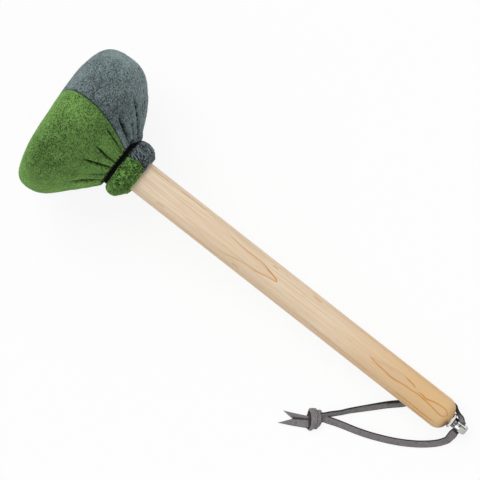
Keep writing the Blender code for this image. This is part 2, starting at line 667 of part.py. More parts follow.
def build():
    clear_scene()
    maple = material("maple", (0.72, 0.55, 0.36), 0.45)
    birch = material("birch", (0.60, 0.45, 0.29), 0.60)
    steel = material("zinc_steel", (0.55, 0.55, 0.53), 0.35, 1.0)
    nickel = material("nickel", (0.66, 0.65, 0.62), 0.22, 1.0)
    felt = material("felt", (0.62, 0.59, 0.52), 0.95)
    foam = material("foam", (0.72, 0.70, 0.62), 0.95)
    green = material("fleece_green", (0.085, 0.165, 0.043), 1.0)
    grey = material("fleece_grey", (0.130, 0.165, 0.165), 1.0)
    black = material("cord_black", (0.008, 0.008, 0.008), 0.60)
    suede = material("suede_grey", (0.175, 0.163, 0.166), 0.90)

    root = empty("mallet_root")
    axis = empty("handle_axis", root)
    axis.location = (0.0, 0.0, AXIS_HEIGHT)
    axis.rotation_euler = (0.0, -TILT, 0.0)
    pivot = empty("eye_pivot", axis)

    green_start = SEAM_ROLL - math.pi
    grey_start = SEAM_ROLL
    handle(maple, axis)
    core(birch, axis)
    core_screw(steel, axis)
    core_washer(steel, axis)
    felt_wrap(felt, axis)
    half_pad("firm_pad", green_start, GREEN_CREASES, felt, axis)
    half_pad("soft_pad", grey_start, GREY_CREASES, foam, axis)
    face_pad(foam, axis)
    cover_half("cover_green", green_start, GREEN_CREASES, green, axis)
    cover_half("cover_grey", grey_start, GREY_CREASES, grey, axis)
    neck_cord(black, axis)
    eye_base(nickel, axis)
    eye(nickel, pivot)
    centre_on(root, [obj.name for obj in bpy.data.objects if obj.type != "EMPTY" and not obj.hide_render])

    lace_strand("lace_strand_upper", eye_points(1) + UPPER_ROUTE + knot_entry("upper"), suede, root)
    lace_strand("lace_strand_lower", eye_points(-1) + LOWER_ROUTE + knot_entry("lower"), suede, root)
    lace_knot(suede, root)
    flat_piece("lace_tail_upper", UPPER_TAIL, suede, root)
    flat_piece("lace_tail_lower", LOWER_TAIL, suede, root)


build()
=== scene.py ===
# Looks of the gong mallet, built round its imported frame. Metres, +Z up: the mallet lies on a table at Z 0.

import json
import math

import bpy
import numpy as np
from mathutils import Matrix


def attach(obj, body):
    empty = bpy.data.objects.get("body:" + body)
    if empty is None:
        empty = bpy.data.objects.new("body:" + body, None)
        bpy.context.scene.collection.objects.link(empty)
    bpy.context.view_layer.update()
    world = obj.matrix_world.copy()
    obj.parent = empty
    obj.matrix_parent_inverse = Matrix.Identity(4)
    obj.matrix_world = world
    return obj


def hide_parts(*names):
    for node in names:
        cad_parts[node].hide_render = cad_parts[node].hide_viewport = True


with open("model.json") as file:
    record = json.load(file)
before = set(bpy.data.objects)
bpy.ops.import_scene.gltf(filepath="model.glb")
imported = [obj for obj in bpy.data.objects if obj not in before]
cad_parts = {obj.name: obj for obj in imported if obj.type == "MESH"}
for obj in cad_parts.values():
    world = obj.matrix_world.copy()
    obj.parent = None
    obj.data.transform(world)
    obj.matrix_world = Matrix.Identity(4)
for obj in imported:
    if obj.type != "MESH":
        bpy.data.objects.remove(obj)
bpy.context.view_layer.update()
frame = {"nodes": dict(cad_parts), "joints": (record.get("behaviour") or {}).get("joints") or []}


# Shared shape tools

def unit(vectors):
    return vectors / np.linalg.norm(vectors, axis=-1, keepdims=True)


def matrixOf(x, y, z, place):
    # the matrix that turns to these three axes and moves to the place
    return Matrix(np.stack([x, y, z, place], axis=1).tolist() + [[0.0, 0.0, 0.0, 1.0]])


# The handle's own axes: x from the butt to the head, y to the green side, z up and away from the table
eyeTurn = frame["joints"][0]
butt = np.array(eyeTurn["pos_m"])
alongHandle = unit(np.array(eyeTurn["axis"]))
toGreen = np.array((0.0, 1.0, 0.0))
offTable = np.cross(alongHandle, toGreen)
underButt = np.array((butt[0], butt[1], 0.0))
handleTurn = matrixOf(alongHandle, toGreen, offTable, butt).to_3x3().transposed().to_euler()

handle = {"radius": 0.0127, "visible": 0.2960, "end": 0.3580, "buttRounding": 0.0090, "fit": 0.0003,
          "seat": 0.0011}


def handlePlaces(x, y, z):
    # the butt's middle plus each coordinate times its axis
    x, y, z = np.broadcast_arrays(x, y, z)
    return butt + x[..., None] * alongHandle + y[..., None] * toGreen + z[..., None] * offTable


def headPlaces(radius, height, roll):
    # a circle round the handle: y is minus the radius times sin roll and z the radius times cos roll
    return handlePlaces(handle["visible"] + height, -radius * np.sin(roll), radius * np.cos(roll))


def outFrom(roll):
    # the direction away from the handle's middle line at this roll
    roll = np.asarray(roll)[..., None]
    return offTable * np.cos(roll) - toGreen * np.sin(roll)


def smoothStep(x, start=0.0, end=1.0):
    # 3 t squared minus 2 t cubed, where t goes from 0 at the start to 1 at the end
    t = np.clip((x - start) / (end - start), 0.0, 1.0)
    return t * t * (3.0 - 2.0 * t)


def bell(x, middle, width):
    # e to the minus ((x - middle) / width) squared
    return np.exp(-((x - middle) / width) ** 2)


def noise(points, size, seed):
    # Gradient noise from about -1 to 1: each corner of a grid of this size holds a random direction, and
    # their dot products with the way to the point are blended by 6t^5 - 15t^4 + 10t^3
    directions = unit(np.random.default_rng(seed).normal(size=(1024, 3)))
    cell = points / size
    corner = np.floor(cell).astype(np.int64)
    part = cell - corner
    blend = part ** 3 * (part * (6.0 * part - 15.0) + 10.0)
    total = np.zeros(points.shape[:-1])
    for step in np.ndindex(2, 2, 2):
        step = np.array(step)
        at = corner + step
        key = (at[..., 0] * 73856093 ^ at[..., 1] * 19349663 ^ at[..., 2] * 83492791) % 1024
        weight = np.prod(np.where(step == 1, blend, 1.0 - blend), axis=-1)
        total += weight * np.sum(directions[key] * (part - step), axis=-1)
    return 1.7 * total


def curls(points, size, seed):
    # 1 along short winding lines and 0 between them: one minus the noise's distance from zero
    first = 1.0 - np.clip(np.abs(noise(points, size, seed)) * 3.2, 0.0, 1.0)
    second = 1.0 - np.clip(np.abs(noise(points, 0.62 * size, seed + 1)) * 3.2, 0.0, 1.0)
    return np.maximum(first, 0.8 * second)


def travelled(path):
    # how far along the path each of its points lies
    return np.append(0.0, np.cumsum(np.linalg.norm(np.diff(path, axis=0), axis=1)))


def splinePlaces(points, count):
    # a Catmull-Rom curve through the points, cut into even lengths
    points = np.array(points, float)
    padded = np.vstack([2 * points[0] - points[1], points, 2 * points[-1] - points[-2]])
    t = np.linspace(0.0, 1.0, 24, endpoint=False)[:, None]
    runs = []
    for a, b, c, d in zip(padded, padded[1:], padded[2:], padded[3:]):
        runs.append(0.5 * (2 * b + (c - a) * t + (2 * a - 5 * b + 4 * c - d) * t ** 2
                           + (3 * b - a - 3 * c + d) * t ** 3))
    dense = np.vstack(runs + [points[-1:]])
    gone = travelled(dense[:, :3])
    wanted = gone[-1] * np.linspace(0.0, 1.0, count)
    return np.stack([np.interp(wanted, gone, dense[:, i]) for i in range(points.shape[1])], axis=1)


def superellipse(angle, power):
    # the cosine and the sine, each raised to 2 / power with its sign kept
    return [np.sign(part) * np.abs(part) ** (2.0 / power) for part in (np.cos(angle), np.sin(angle))]


def roundedSection(width, thickness, count, power=5.0):
    across, up = superellipse(np.linspace(0.0, math.tau, count, endpoint=False), power)
    return np.stack([0.5 * width * across, 0.5 * thickness * up], axis=1)


def sweep(path, ups, section, scale=1.0):
    # Each point of the section is carried along the path: its first number goes across and its second along
    # up. Across is the path's direction crossed with up. The two ends close on the path.
    forward = unit(np.gradient(path, axis=0))
    across = unit(np.cross(forward, ups))
    up = np.cross(across, forward)
    shape = section[None] * scale
    rings = path[:, None] + shape[..., :1] * across[:, None] + shape[..., 1:] * up[:, None]
    start, end = (np.repeat(path[i][None, None], len(section), axis=1) for i in (0, -1))
    return np.concatenate([start, rings, end])


def gridFaces(rows, columns, wrap):
    # four neighbours of a grid of points, with each corner's place in the grid for its UV
    rowRange = np.arange(rows - ("rows" not in wrap))
    columnRange = np.arange(columns - ("columns" not in wrap))
    row, column = np.meshgrid(rowRange, columnRange, indexing="ij")
    rowSteps = np.stack([row, row, row + 1, row + 1], axis=-1)
    columnSteps = np.stack([column, column + 1, column + 1, column], axis=-1)
    faces = (rowSteps % rows) * columns + columnSteps % columns
    places = np.stack([columnSteps / columns, rowSteps / rows], axis=-1)
    return faces.reshape(-1, 4), places.reshape(-1, 4, 2)


def mergePoints(points):
    # points at the same place become one: each one, where it first comes, and which one each point became
    unique, first, inverse = np.unique(np.round(points.reshape(-1, 3), 7), axis=0, return_index=True,
                                       return_inverse=True)
    return unique, first, inverse.ravel()


def makePiece(name, grids, material, body, node, wrap="columns", capped=False, values=None):
    # One mesh of grids of points whose columns, rows or both join up. Capped, its first and last columns are
    # closed. A face that merged points leave with two equal corners becomes a triangle. The faces point
    # outwards: where the volume, the sum of a . (b x c) over them, comes out negative, all turn round.
    faces, places, offset = [], [], 0
    for grid in grids:
        gridCorners, gridPlaces = gridFaces(*grid.shape[:2], wrap)
        faces.append(gridCorners + offset)
        places.append(gridPlaces)
        offset += grid.shape[0] * grid.shape[1]
    unique, first, inverse = mergePoints(np.concatenate([grid.reshape(-1, 3) for grid in grids]))
    corners, places = inverse[np.concatenate(faces)], np.concatenate(places)
    repeated = corners == np.roll(corners, -1, axis=1)
    count = repeated.sum(axis=1)
    kept = ~repeated[count == 1]
    quads = corners[count == 0]
    triangles = corners[count == 1][kept].reshape(-1, 3)
    a, b, c, d = quads.T
    e, f, g = triangles.T
    volume = sum(np.sum(unique[i] * np.cross(unique[j], unique[k]))
                 for i, j, k in ((a, b, c), (a, c, d), (e, f, g)))
    ends = []
    if capped:
        rows, columns = grids[0].shape[:2]
        rim = np.arange(rows) * columns
        for ring in (inverse[rim], inverse[rim + columns - 1][::-1]):
            ends.append(ring[ring != np.roll(ring, -1)].tolist())
    mesh = bpy.data.meshes.new(name)
    mesh.from_pydata(unique, [], quads.tolist() + triangles.tolist() + ends)
    cornerPlaces = np.zeros((len(mesh.loops), 2), dtype=np.float32)
    shown = np.vstack([places[count == 0].reshape(-1, 2), places[count == 1][kept].reshape(-1, 2)])
    cornerPlaces[:len(shown)] = shown
    mesh.uv_layers.new(name="surface").data.foreach_set("uv", cornerPlaces.ravel())
    for key, value in (values or {}).items():
        attribute = mesh.attributes.new(key, "FLOAT", "POINT")
        attribute.data.foreach_set("value", value.reshape(-1)[first].astype(np.float32))
    if volume < 0.0:
        mesh.flip_normals()
    mesh.shade_smooth()
    mesh.materials.append(material)
    piece = bpy.data.objects.new(name, mesh)
    bpy.context.scene.collection.objects.link(piece)
    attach(piece, body)
    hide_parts(node)
    return piece


# Shared material tools

def setInputs(node, inputs):
    # each input's value, or the socket that feeds it
    for key, value in inputs.items():
        if isinstance(value, bpy.types.NodeSocket):
            node.id_data.links.new(value, node.inputs[key])
        else:
            node.inputs[key].default_value = value


def addNode(tree, kind, inputs, **settings):
    node = tree.nodes.new(kind)
    for key, value in settings.items():
        setattr(node, key, value)
    setInputs(node, inputs)
    return node


def maths(operation, *values):
    tree = next(value.id_data for value in values if isinstance(value, bpy.types.NodeSocket))
    return addNode(tree, "ShaderNodeMath", dict(enumerate(values)), operation=operation).outputs[0]


def plus(total, *others):
    for other in others:
        total = maths("ADD", total, other)
    return total


def times(product, *others):
    for other in others:
        product = maths("MULTIPLY", product, other)
    return product


def minus(first, second):
    return maths("SUBTRACT", first, second)


def distance(first, second):
    return maths("ABSOLUTE", minus(first, second))


def mapRange(value, fromMin, fromMax, toMin=0.0, toMax=1.0, smooth=False):
    inputs = {"Value": value, "From Min": fromMin, "From Max": fromMax, "To Min": toMin, "To Max": toMax}
    kind = "SMOOTHSTEP" if smooth else "LINEAR"
    return addNode(value.id_data, "ShaderNodeMapRange", inputs, interpolation_type=kind).outputs[0]


def noiseAt(place, scale, detail, roughness=0.5, distortion=0.0):
    inputs = {"Vector": place, "Scale": scale, "Detail": detail, "Roughness": roughness,
              "Distortion": distortion}
    return addNode(place.id_data, "ShaderNodeTexNoise", inputs).outputs[0]


def stretched(place, scale):
    return addNode(place.id_data, "ShaderNodeMapping", {"Vector": place, "Scale": scale}).outputs[0]


def split(place):
    return addNode(place.id_data, "ShaderNodeSeparateXYZ", {0: place}).outputs


def pointValue(tree, name):
    # a value that the mesh holds for each point
    return addNode(tree, "ShaderNodeAttribute", {}, attribute_name=name).outputs["Fac"]


def mixColours(factor, *colours):
    inputs = {key: (*colour, 1.0) if isinstance(colour, tuple) else colour
              for key, colour in zip((6, 7), colours)}
    return addNode(factor.id_data, "ShaderNodeMix", {0: factor, **inputs}, data_type="RGBA").outputs[2]


def ramp(factor, stops):
    # a colour ramp from (place, colour) pairs; a number stands for a grey
    node = addNode(factor.id_data, "ShaderNodeValToRGB", {0: factor})
    elements = node.color_ramp.elements
    elements.remove(elements[0])
    for i, (place, colour) in enumerate(stops):
        element = elements[0] if i == 0 else elements.new(place)
        element.position = place
        element.color = (*((colour,) * 3 if isinstance(colour, float) else colour), 1.0)
    return node.outputs[0]


def newGroup(name, sizes, outputs):
    # A node group that takes a place and some sizes and gives numbers: its inputs and its output node
    tree = bpy.data.node_groups.new(name, "ShaderNodeTree")
    tree.interface.new_socket("Place", in_out="INPUT", socket_type="NodeSocketVector")
    for key in sizes:
        tree.interface.new_socket(key, in_out="INPUT", socket_type="NodeSocketFloat")
    for key in outputs:
        tree.interface.new_socket(key, in_out="OUTPUT", socket_type="NodeSocketFloat")
    return tree.nodes.new("NodeGroupInput").outputs, tree.nodes.new("NodeGroupOutput")


def useGroup(name, place, **sizes):
    # the group at this place with its sizes
    inputs = {"Place": place, **sizes}
    return addNode(place.id_data, "ShaderNodeGroup", inputs, node_tree=bpy.data.node_groups[name]).outputs


def newMaterial(name):
    # a material, its tree and the object's own coordinates
    material = bpy.data.materials.new(name)
    material.use_nodes = True
    tree = material.node_tree
    return material, tree, addNode(tree, "ShaderNodeTexCoord", {}).outputs["Object"]


def finishMaterial(material, colour, bump, settings):
    # its colour, its bump's height, strength and distance, and the shader's other inputs
    names = ("Height", "Strength", "Distance")
    tree = material.node_tree
    normal = addNode(tree, "ShaderNodeBump", dict(zip(names, bump))).outputs[0]
    setInputs(tree.nodes["Principled BSDF"], {"Base Color": colour, "Normal": normal, **settings})
    return material


def handleCoordinates(place):
    # the place in the handle's own axes, from the butt
    moved = addNode(place.id_data, "ShaderNodeVectorMath", {0: place, 1: tuple(butt)}, operation="SUBTRACT")
    inputs = {"Vector": moved.outputs[0], "Rotation": handleTurn}
    return addNode(place.id_data, "ShaderNodeMapping", inputs).outputs[0]


def makeMottleGroup():
    # Cloudy and fine fibre-like patches for cloth, felt, suede and cord
    entry, result = newGroup("fibreMottle", ("Size", "Patches", "Stretch"), ("Mottle", "Patch", "Height"))
    scale = maths("DIVIDE", 1.0, entry["Size"])
    fibres = noiseAt(entry["Place"], scale, 3.0, 0.6, entry["Stretch"])
    mottle = mapRange(distance(fibres, 0.5), 0.0, 0.16, 1.0, 0.0, smooth=True)
    patches = noiseAt(entry["Place"], maths("DIVIDE", 1.0, entry["Patches"]), 2.0)
    fine = noiseAt(entry["Place"], times(scale, 4.0), 2.0)
    height = plus(times(mottle, 0.6), times(fine, 0.4))
    setInputs(result, {"Mottle": mottle, "Patch": patches, "Height": height})


def makeWearGroup():
    # Small scratches and dull patches for plated metal
    entry, result = newGroup("metalWear", ("Size", "Polished", "Dull"), ("Roughness", "Height"))
    scale = maths("DIVIDE", 1.0, entry["Size"])
    patches = noiseAt(entry["Place"], scale, 4.0)
    scratches = noiseAt(entry["Place"], times(scale, 6.0), 5.0)
    spread = mapRange(patches, 0.3, 0.75, entry["Polished"], entry["Dull"])
    setInputs(result, {"Roughness": spread, "Height": scratches})


def makeGrainGroup():
    # Growth layers of a plain-sawn dowel: the layers lie flat, rise and sink along the wood, and show as long
    # figures on top and as close lines at the sides. Fine fibre streaks and short flecks run along the wood.
    entry, result = newGroup("woodGrain", ("Rise", "Radius", "Streak"), ("Layer", "Streaks", "Flecks"))
    drift = noiseAt(stretched(entry["Place"], (14.0, 60.0, 60.0)), 1.0, 3.0)
    parts = split(entry["Place"])
    depth = minus(entry["Radius"], plus(parts[2], times(parts[1], -0.083)))
    drifted = plus(minus(depth, entry["Rise"]), times(minus(drift, 0.5), 0.0005))
    layer = maths("DIVIDE", drifted, times(entry["Radius"], 2.0))
    streaks = noiseAt(stretched(entry["Place"], (22.0, 900.0, 900.0)), entry["Streak"], 4.0, 0.65)
    spots = noiseAt(stretched(entry["Place"], (90.0, 700.0, 700.0)), entry["Streak"], 1.0)
    setInputs(result, {"Layer": layer, "Streaks": streaks, "Flecks": mapRange(spots, 0.70, 0.80)})


makeMottleGroup()
makeWearGroup()
makeGrainGroup()

# Camera: it looks square at the handle's axis, with the mallet's butt at the lower right

view = {"along": 0.2086, "toGreen": -0.0084, "distance": 1.80, "lens": 179.6, "sensor": 36.0,
        "clip": (0.05, 50.0), "frameAlong": -0.78658, "frameSide": -0.61749}
frameRight = view["frameAlong"] * alongHandle + view["frameSide"] * toGreen
frameUp = np.cross(offTable, frameRight)


def makeCamera():
    target = butt + view["along"] * alongHandle + view["toGreen"] * toGreen
    camera = bpy.data.objects.new("camera", bpy.data.cameras.new("camera"))
    camera.data.lens = view["lens"]
    camera.data.sensor_width = view["sensor"]
    camera.data.clip_start, camera.data.clip_end = view["clip"]
    camera.matrix_world = matrixOf(frameRight, frameUp, offTable, target + view["distance"] * offTable)
    bpy.context.scene.collection.objects.link(camera)
    bpy.context.scene.camera = camera


makeCamera()
print("camera made")

# Suede lace: two strands from the eye to the knot, the knot, and two cut ends

lace = {
    "width": 0.0052, "thickness": 0.0015, "sectionPoints": 32, "points": 156, "intoKnot": 0.0013,
    "eyeCentre": 0.0079, "eyeRoll": math.radians(9), "eyeWidth": 0.0064, "edge": (0.80, 0.88),
    # the last colour here, near-black, is for the cut sides and for painted shade
    "grey": (0.235, 0.217, 0.221), "dusk": (0.085, 0.076, 0.079), "cutEdge": (0.006, 0.005, 0.006),
    # How each strand widens from the eye, and more beside the ring: the upper strand is 1, the lower one -1
    "spread": 0.12, "free": {1: (0.016, 0.038), -1: (0.003, 0.010)}, "flare": {1: 0.0, -1: 0.16},
    "flareAt": (0.0095, 0.005), "wear": [(0.00006, 0.0011, 5), (0.00010, 0.006, 6)],
    # the handle's shadow on the upper strand, where it comes out from under the wood
    "shadow": {1: 0.5, -1: 0.0}, "shadowFade": (0.060, 0.036), "shadowFrom": 0.028,
}

# X, Y and height of the middle of the strip from the table under the wood's end, and its roll in degrees
upperRoute = [
    (-0.0072, -0.0031, 0.0122, -8), (-0.0053, -0.0053, 0.0123, -34), (-0.0020, -0.0068, 0.0110, -66),
    (0.0011, -0.0084, 0.0083, -68), (0.0039, -0.0098, 0.0050, -58), (0.0085, -0.0099, 0.0029, -34),
    (0.0120, -0.0095, 0.0017, -14), (0.0160, -0.0083, 0.0010, -4), (0.0200, -0.0060, 0.0008, 0),
    (0.0238, -0.0026, 0.0008, 0), (0.0275, 0.0012, 0.0008, 0), (0.0320, 0.0066, 0.0012, -8),
    (0.0374, 0.0132, 0.0019, -18), (0.0451, 0.0206, 0.0023, -28), (0.0555, 0.0318, 0.0025, -40),
    (0.0648, 0.0419, 0.0028, -52), (0.0690, 0.0470, 0.0029, -56), (0.0744, 0.0527, 0.0030, -52),
]
lowerRoute = [
    (-0.0072, 0.0053, 0.0078, 0), (-0.0071, 0.0078, 0.0059, -12), (-0.0069, 0.0106, 0.0045, -24),
    (-0.0065, 0.0136, 0.0035, -28), (-0.0049, 0.0164, 0.0029, -29), (-0.0028, 0.0193, 0.0026, -30),
    (0.0002, 0.0225, 0.0024, -30), (0.0042, 0.0261, 0.0023, -30), (0.0096, 0.0303, 0.0023, -29),
    (0.0180, 0.0358, 0.0023, -28), (0.0262, 0.0403, 0.0023, -28), (0.0344, 0.0442, 0.0023, -28),
    (0.0430, 0.0478, 0.0023, -28), (0.0521, 0.0510, 0.0023, -28), (0.0616, 0.0538, 0.0022, -26),
    (0.0673, 0.0556, 0.0020, -24), (0.0712, 0.0570, 0.0019, -18), (0.0748, 0.0583, 0.0018, -12),
]
# each entry: how far along the knot the strand goes in, its height and its roll in degrees
knot = {
    "place": (0.0823, 0.0642), "turn": math.radians(-51.9), "width": 0.0117,
    "upperEntry": (0.0032, 0.0032, -50), "lowerEntry": (0.0006, 0.0016, -8),
}
longWay = np.array((math.cos(knot["turn"]), math.sin(knot["turn"]), 0.0))
shortWay = np.array((longWay[1], -longWay[0], 0.0))
eyeMiddle = butt - lace["eyeCentre"] * alongHandle
eyeAcross = offTable * math.sin(lace["eyeRoll"]) - toGreen * math.cos(lace["eyeRoll"])


def suedeMaterial():
    material, tree, place = newMaterial("suede")
    mottle = useGroup("fibreMottle", place, Size=0.0009, Patches=0.004, Stretch=0.6)
    tone = plus(times(mottle["Mottle"], 0.66), times(mottle["Patch"], 0.80), -0.10)
    colour = mixColours(tone, lace["dusk"], lace["grey"])
    # the cut sides and the painted shade go near-black: painted shade in the gap beside the butt, under the
    # ring, under the handle, in the knot's hollow and core and along the valley between the tails
    colour = mixColours(pointValue(tree, "cutEdge"), colour, lace["cutEdge"])
    return finishMaterial(material, colour, (mottle["Height"], 0.5, 0.0002),
                          {"Roughness": 0.95, "Sheen Weight": 0.12, "Sheen Roughness": 0.6})


suede = suedeMaterial()


def stripUps(path, rolls):
    # up turned by the roll about the way the strip runs, by Rodrigues' formula
    forward = unit(np.gradient(path, axis=0))
    flat = unit(np.array((0.0, 0.0, 1.0)) - forward[:, 2:] * forward)
    return flat * np.cos(rolls)[:, None] + np.cross(forward, flat) * np.sin(rolls)[:, None]


def laceStrand(name, side, route, entry, node):
    # A strip from the middle of the eye along its route into the knot, pressed narrow in the eye
    along, height, roll = entry
    ends = []
    for gap in (0.5 * lace["width"], -lace["intoKnot"]):
        place = np.array(knot["place"]) + (along * longWay + (0.5 * knot["width"] + gap) * shortWay)[:2]
        ends.append((*place, height, roll))
    starts = []
    for reach in (0.5 * handle["fit"], 0.5 * lace["eyeWidth"]):
        starts.append((*(eyeMiddle - underButt + side * eyeAcross * reach), 0.0))
    places = splinePlaces(starts + route + ends, lace["points"])
    path = places[:, :3] + underButt
    gone = travelled(path)
    spread = 1.0 + lace["spread"] * smoothStep(gone, *lace["free"][side])
    spread = spread + lace["flare"][side] * bell(gone, *lace["flareAt"])
    section = roundedSection(lace["width"], lace["thickness"], lace["sectionPoints"])
    scale = np.stack([spread, np.ones_like(spread)], axis=1)[:, None]
    rings = sweep(path, stripUps(path, np.radians(places[:, 3])), section, scale)
    rings[..., 2] += sum(deep * noise(rings, size, seed) for deep, size, seed in lace["wear"])
    # in the gap beside the wood's end the upper strand shows its cut side in the shade, and the lower strand
    # is in the ring's shade
    fromButt = (path - butt) @ alongHandle
    dusk = 0.80 * smoothStep(fromButt, -0.0030, -0.0018) * smoothStep(fromButt, 0.0065, 0.0045)
    if side < 0:
        dusk = 0.95 * smoothStep(gone, 0.0064, 0.0054)
    fromGap = path[:, 0] - underButt[0]
    shadow = lace["shadow"][side] * smoothStep(fromGap, *lace["shadowFade"]) * (fromGap > lace["shadowFrom"])
    # 1 on the cut sides and 0 on the faces, and further in on one side where the shadow falls
    across = section[:, 0] / (0.5 * lace["width"])
    reach = np.abs(across)[None] + np.pad(shadow, 1, mode="edge")[:, None] * (across > 0.0)[None]
    values = {"cutEdge": np.maximum(smoothStep(reach, *lace["edge"]), np.pad(dusk, 1, mode="edge")[:, None])}
    return makePiece(name, [rings], suede, "eye", node, values=values), path, float(gone[-1])


strands = [laceStrand("laceUpper", 1, upperRoute, knot["upperEntry"], "lace_strand_upper"),
           laceStrand("laceLower", -1, lowerRoute, knot["lowerEntry"], "lace_strand_lower")]
print("lace strands made", [round(length, 4) for _, _, length in strands])

# Floor and light

light = {"ambient": 0.58, "floor": 0.93, "key": 1.45, "keyAngle": math.radians(50), "lift": 0.88,
         "toKey": (0.76, 0.52, -0.39), "reach": 6.0, "drop": 0.0002}


def makeStudio():
    floorMesh = bpy.data.meshes.new("floor")
    corners = [(x * light["reach"], y * light["reach"], 0.0) for x, y in ((-1, -1), (1, -1), (1, 1), (-1, 1))]
    floorMesh.from_pydata(corners, [], [(0, 1, 2, 3)])
    floor = bpy.data.objects.new("floor", floorMesh)
    floor.location = (0.0, 0.0, -light["drop"])
    bpy.context.scene.collection.objects.link(floor)
    material, tree, _ = newMaterial("floorPaper")
    shader = tree.nodes["Principled BSDF"]
    paper = (*(light["floor"],) * 3, 1.0)
    setInputs(shader, {"Base Color": paper, "Roughness": 1.0, "Specular IOR Level": 0.0})
    # the camera sees the paper lifted towards white, with its shadows on it
    glow = addNode(tree, "ShaderNodeEmission", {"Color": (1.0, 1.0, 1.0, 1.0), "Strength": 1.0})
    seen = addNode(tree, "ShaderNodeLightPath", {}).outputs["Is Camera Ray"]
    lifted = addNode(tree, "ShaderNodeMixShader", {0: times(seen, light["lift"]), 1: shader.outputs[0],
                                                   2: glow.outputs[0]})
    setInputs(tree.nodes["Material Output"], {"Surface": lifted.outputs[0]})
    floorMesh.materials.append(material)

    world = bpy.data.worlds.new("studio")
    bpy.context.scene.world = world
    world.use_nodes = True
    rays = addNode(world.node_tree, "ShaderNodeLightPath", {}).outputs
    seen = maths("MAXIMUM", rays["Is Camera Ray"], maths("MAXIMUM", rays["Is Glossy Ray"],
                                                         rays["Is Transmission Ray"]))
    strength = mapRange(seen, 0.0, 1.0, light["ambient"], 1.0)
    setInputs(world.node_tree.nodes["Background"], {"Strength": strength, "Color": (1.0, 1.0, 1.0, 1.0)})

    # one soft lamp from the top left of the picture, over the camera's side
    lamp = bpy.data.objects.new("key", bpy.data.lights.new("key", "SUN"))
    toward = unit(light["toKey"][0] * offTable + light["toKey"][1] * frameUp + light["toKey"][2] * frameRight)
    lamp.data.energy = light["key"]
    lamp.data.angle = light["keyAngle"]
    lamp.rotation_mode = "QUATERNION"
    across = unit(np.cross((0.0, 1.0, 0.0), toward))
    lamp.matrix_world = matrixOf(across, np.cross(toward, across), toward, (0.0, 0.0, 0.0))
    bpy.context.scene.collection.objects.link(lamp)


makeStudio()
bpy.context.scene.view_settings.view_transform = "Standard"
print("studio made")

# Handle: a turned dowel with plain-sawn figure

wood = {
    "rings": 420, "around": 128, "shankBore": 0.0035, "shankDepth": 0.0223, "screwBore": 0.0028,
    "screwDepth": 0.0253, "pale": (0.825, 0.665, 0.485), "headward": (0.900, 0.745, 0.560),
    "warm": (0.765, 0.490, 0.218), "end": (0.63, 0.335, 0.105), "line": (0.58, 0.228, 0.010),
    "core": (0.68, 0.49, 0.31), "heart": (0.65, 0.46, 0.28), "shade": (0.20, 0.075, 0.010),
    # how strongly each tone covers the one below, and between which places along the handle some change
    "streakTone": 0.85, "heartTone": 0.35, "layerTone": 0.60, "fleckTone": 0.45, "endTone": 0.9,
    "warmUntil": (0.034, 0.120), "headwardFrom": (0.225, 0.265), "endUntil": 0.0090,
    "underFlange": (0.0022, 0.0062), "besideFlange": (0.0004, 0.0034), "shadeTone": 0.97,
    "lineCore": 0.00008, "lineWidth": 0.00082, "veinCore": 0.00010, "veinWidth": 0.00060, "wander": 0.0010,
    "fadeAt": (0.172, 0.225), "faded": 0.16, "brokenSpan": 0.2,
    # growth layers from the top of the dowel down
    "layers": [(0.0, 0.0), (0.150, 0.0), (0.162, 0.25), (0.170, 0.0), (0.190, 0.0), (0.200, 0.85),
               (0.211, 0.0), (0.262, 0.0), (0.272, 0.55), (0.285, 0.0), (0.36, 0.0), (0.375, 0.45),
               (0.39, 0.0), (0.47, 0.0), (0.485, 0.5), (0.50, 0.0), (0.60, 0.0), (0.615, 0.45),
               (0.63, 0.0), (0.74, 0.0), (0.75, 0.5), (0.76, 0.0), (0.86, 0.0), (0.867, 0.7),
               (0.875, 0.0), (0.965, 0.0), (0.972, 0.9), (0.98, 0.3)],
    # the figure's line away from the green breaks off once and is faint in the middle of the handle
    "broken": [(0.160, 1.0), (0.170, 0.15), (0.184, 0.15), (0.192, 1.0), (0.225, 1.0), (0.245, 0.30),
               (0.400, 0.30), (0.800, 1.0)],
}

# The flat-sawn figure on top, from the butt: along the handle, its middle's distance from the handle's middle
# line away from the green side, and its half width, all in mm. Where the half width is below zero there is
# none.
figure = [(0.0, 0.7, -2.0), (6.2, 0.7, 0.0), (7.5, 0.7, 2.1), (10.4, 0.7, 3.0), (14.5, 0.8, 2.7),
          (19.0, 0.9, 2.1), (24.0, 0.6, 1.2), (27.0, 0.4, 0.7), (30.0, 0.7, 0.85), (33.5, 0.6, 0.8),
          (38.0, 1.0, 1.9),
          (46.5, 1.5, 2.7), (54.1, 1.0, 3.3), (63.1, 0.4, 2.3), (73.6, 0.0, 0.9), (78.1, 0.0, 0.0),
          (86.0, 0.3, -2.5), (160.0, 1.1, -2.5), (167.6, 1.1, 0.0), (169.4, 1.2, 0.9), (172.0, 1.3, 1.5),
          (177.7, 1.5, 2.5), (184.4, 1.3, 3.8), (190.8, 1.2, 4.25), (200.2, 0.7, 4.8), (215.3, -0.2, 7.1),
          (223.9, 0.0, 8.2), (231.4, 1.3, 8.0), (239.7, 2.9, 7.2), (262.0, 4.0, 6.0), (296.0, 5.0, 5.0)]

# Single darker lines: their distance from the middle line as above in mm, the places where each starts and
# ends along the handle in mm, and how dark it is
veins = [(-9.3, 8.0, 50.0, 1.00), (-9.6, 61.0, 190.0, 0.42), (-11.3, 60.0, 290.0, 0.30),
         (10.3, 240.0, 268.0, 0.55), (9.9, 276.0, 293.0, 0.60), (9.3, 131.0, 140.0, 0.65),
         (9.0, 172.0, 178.0, 0.60), (-9.1, 196.0, 203.0, 0.70), (-7.6, 268.0, 276.0, 0.50),
         (-11.4, 8.0, 52.0, 0.60), (-10.9, 205.0, 290.0, 0.30), (11.6, 12.0, 130.0, 0.28)]


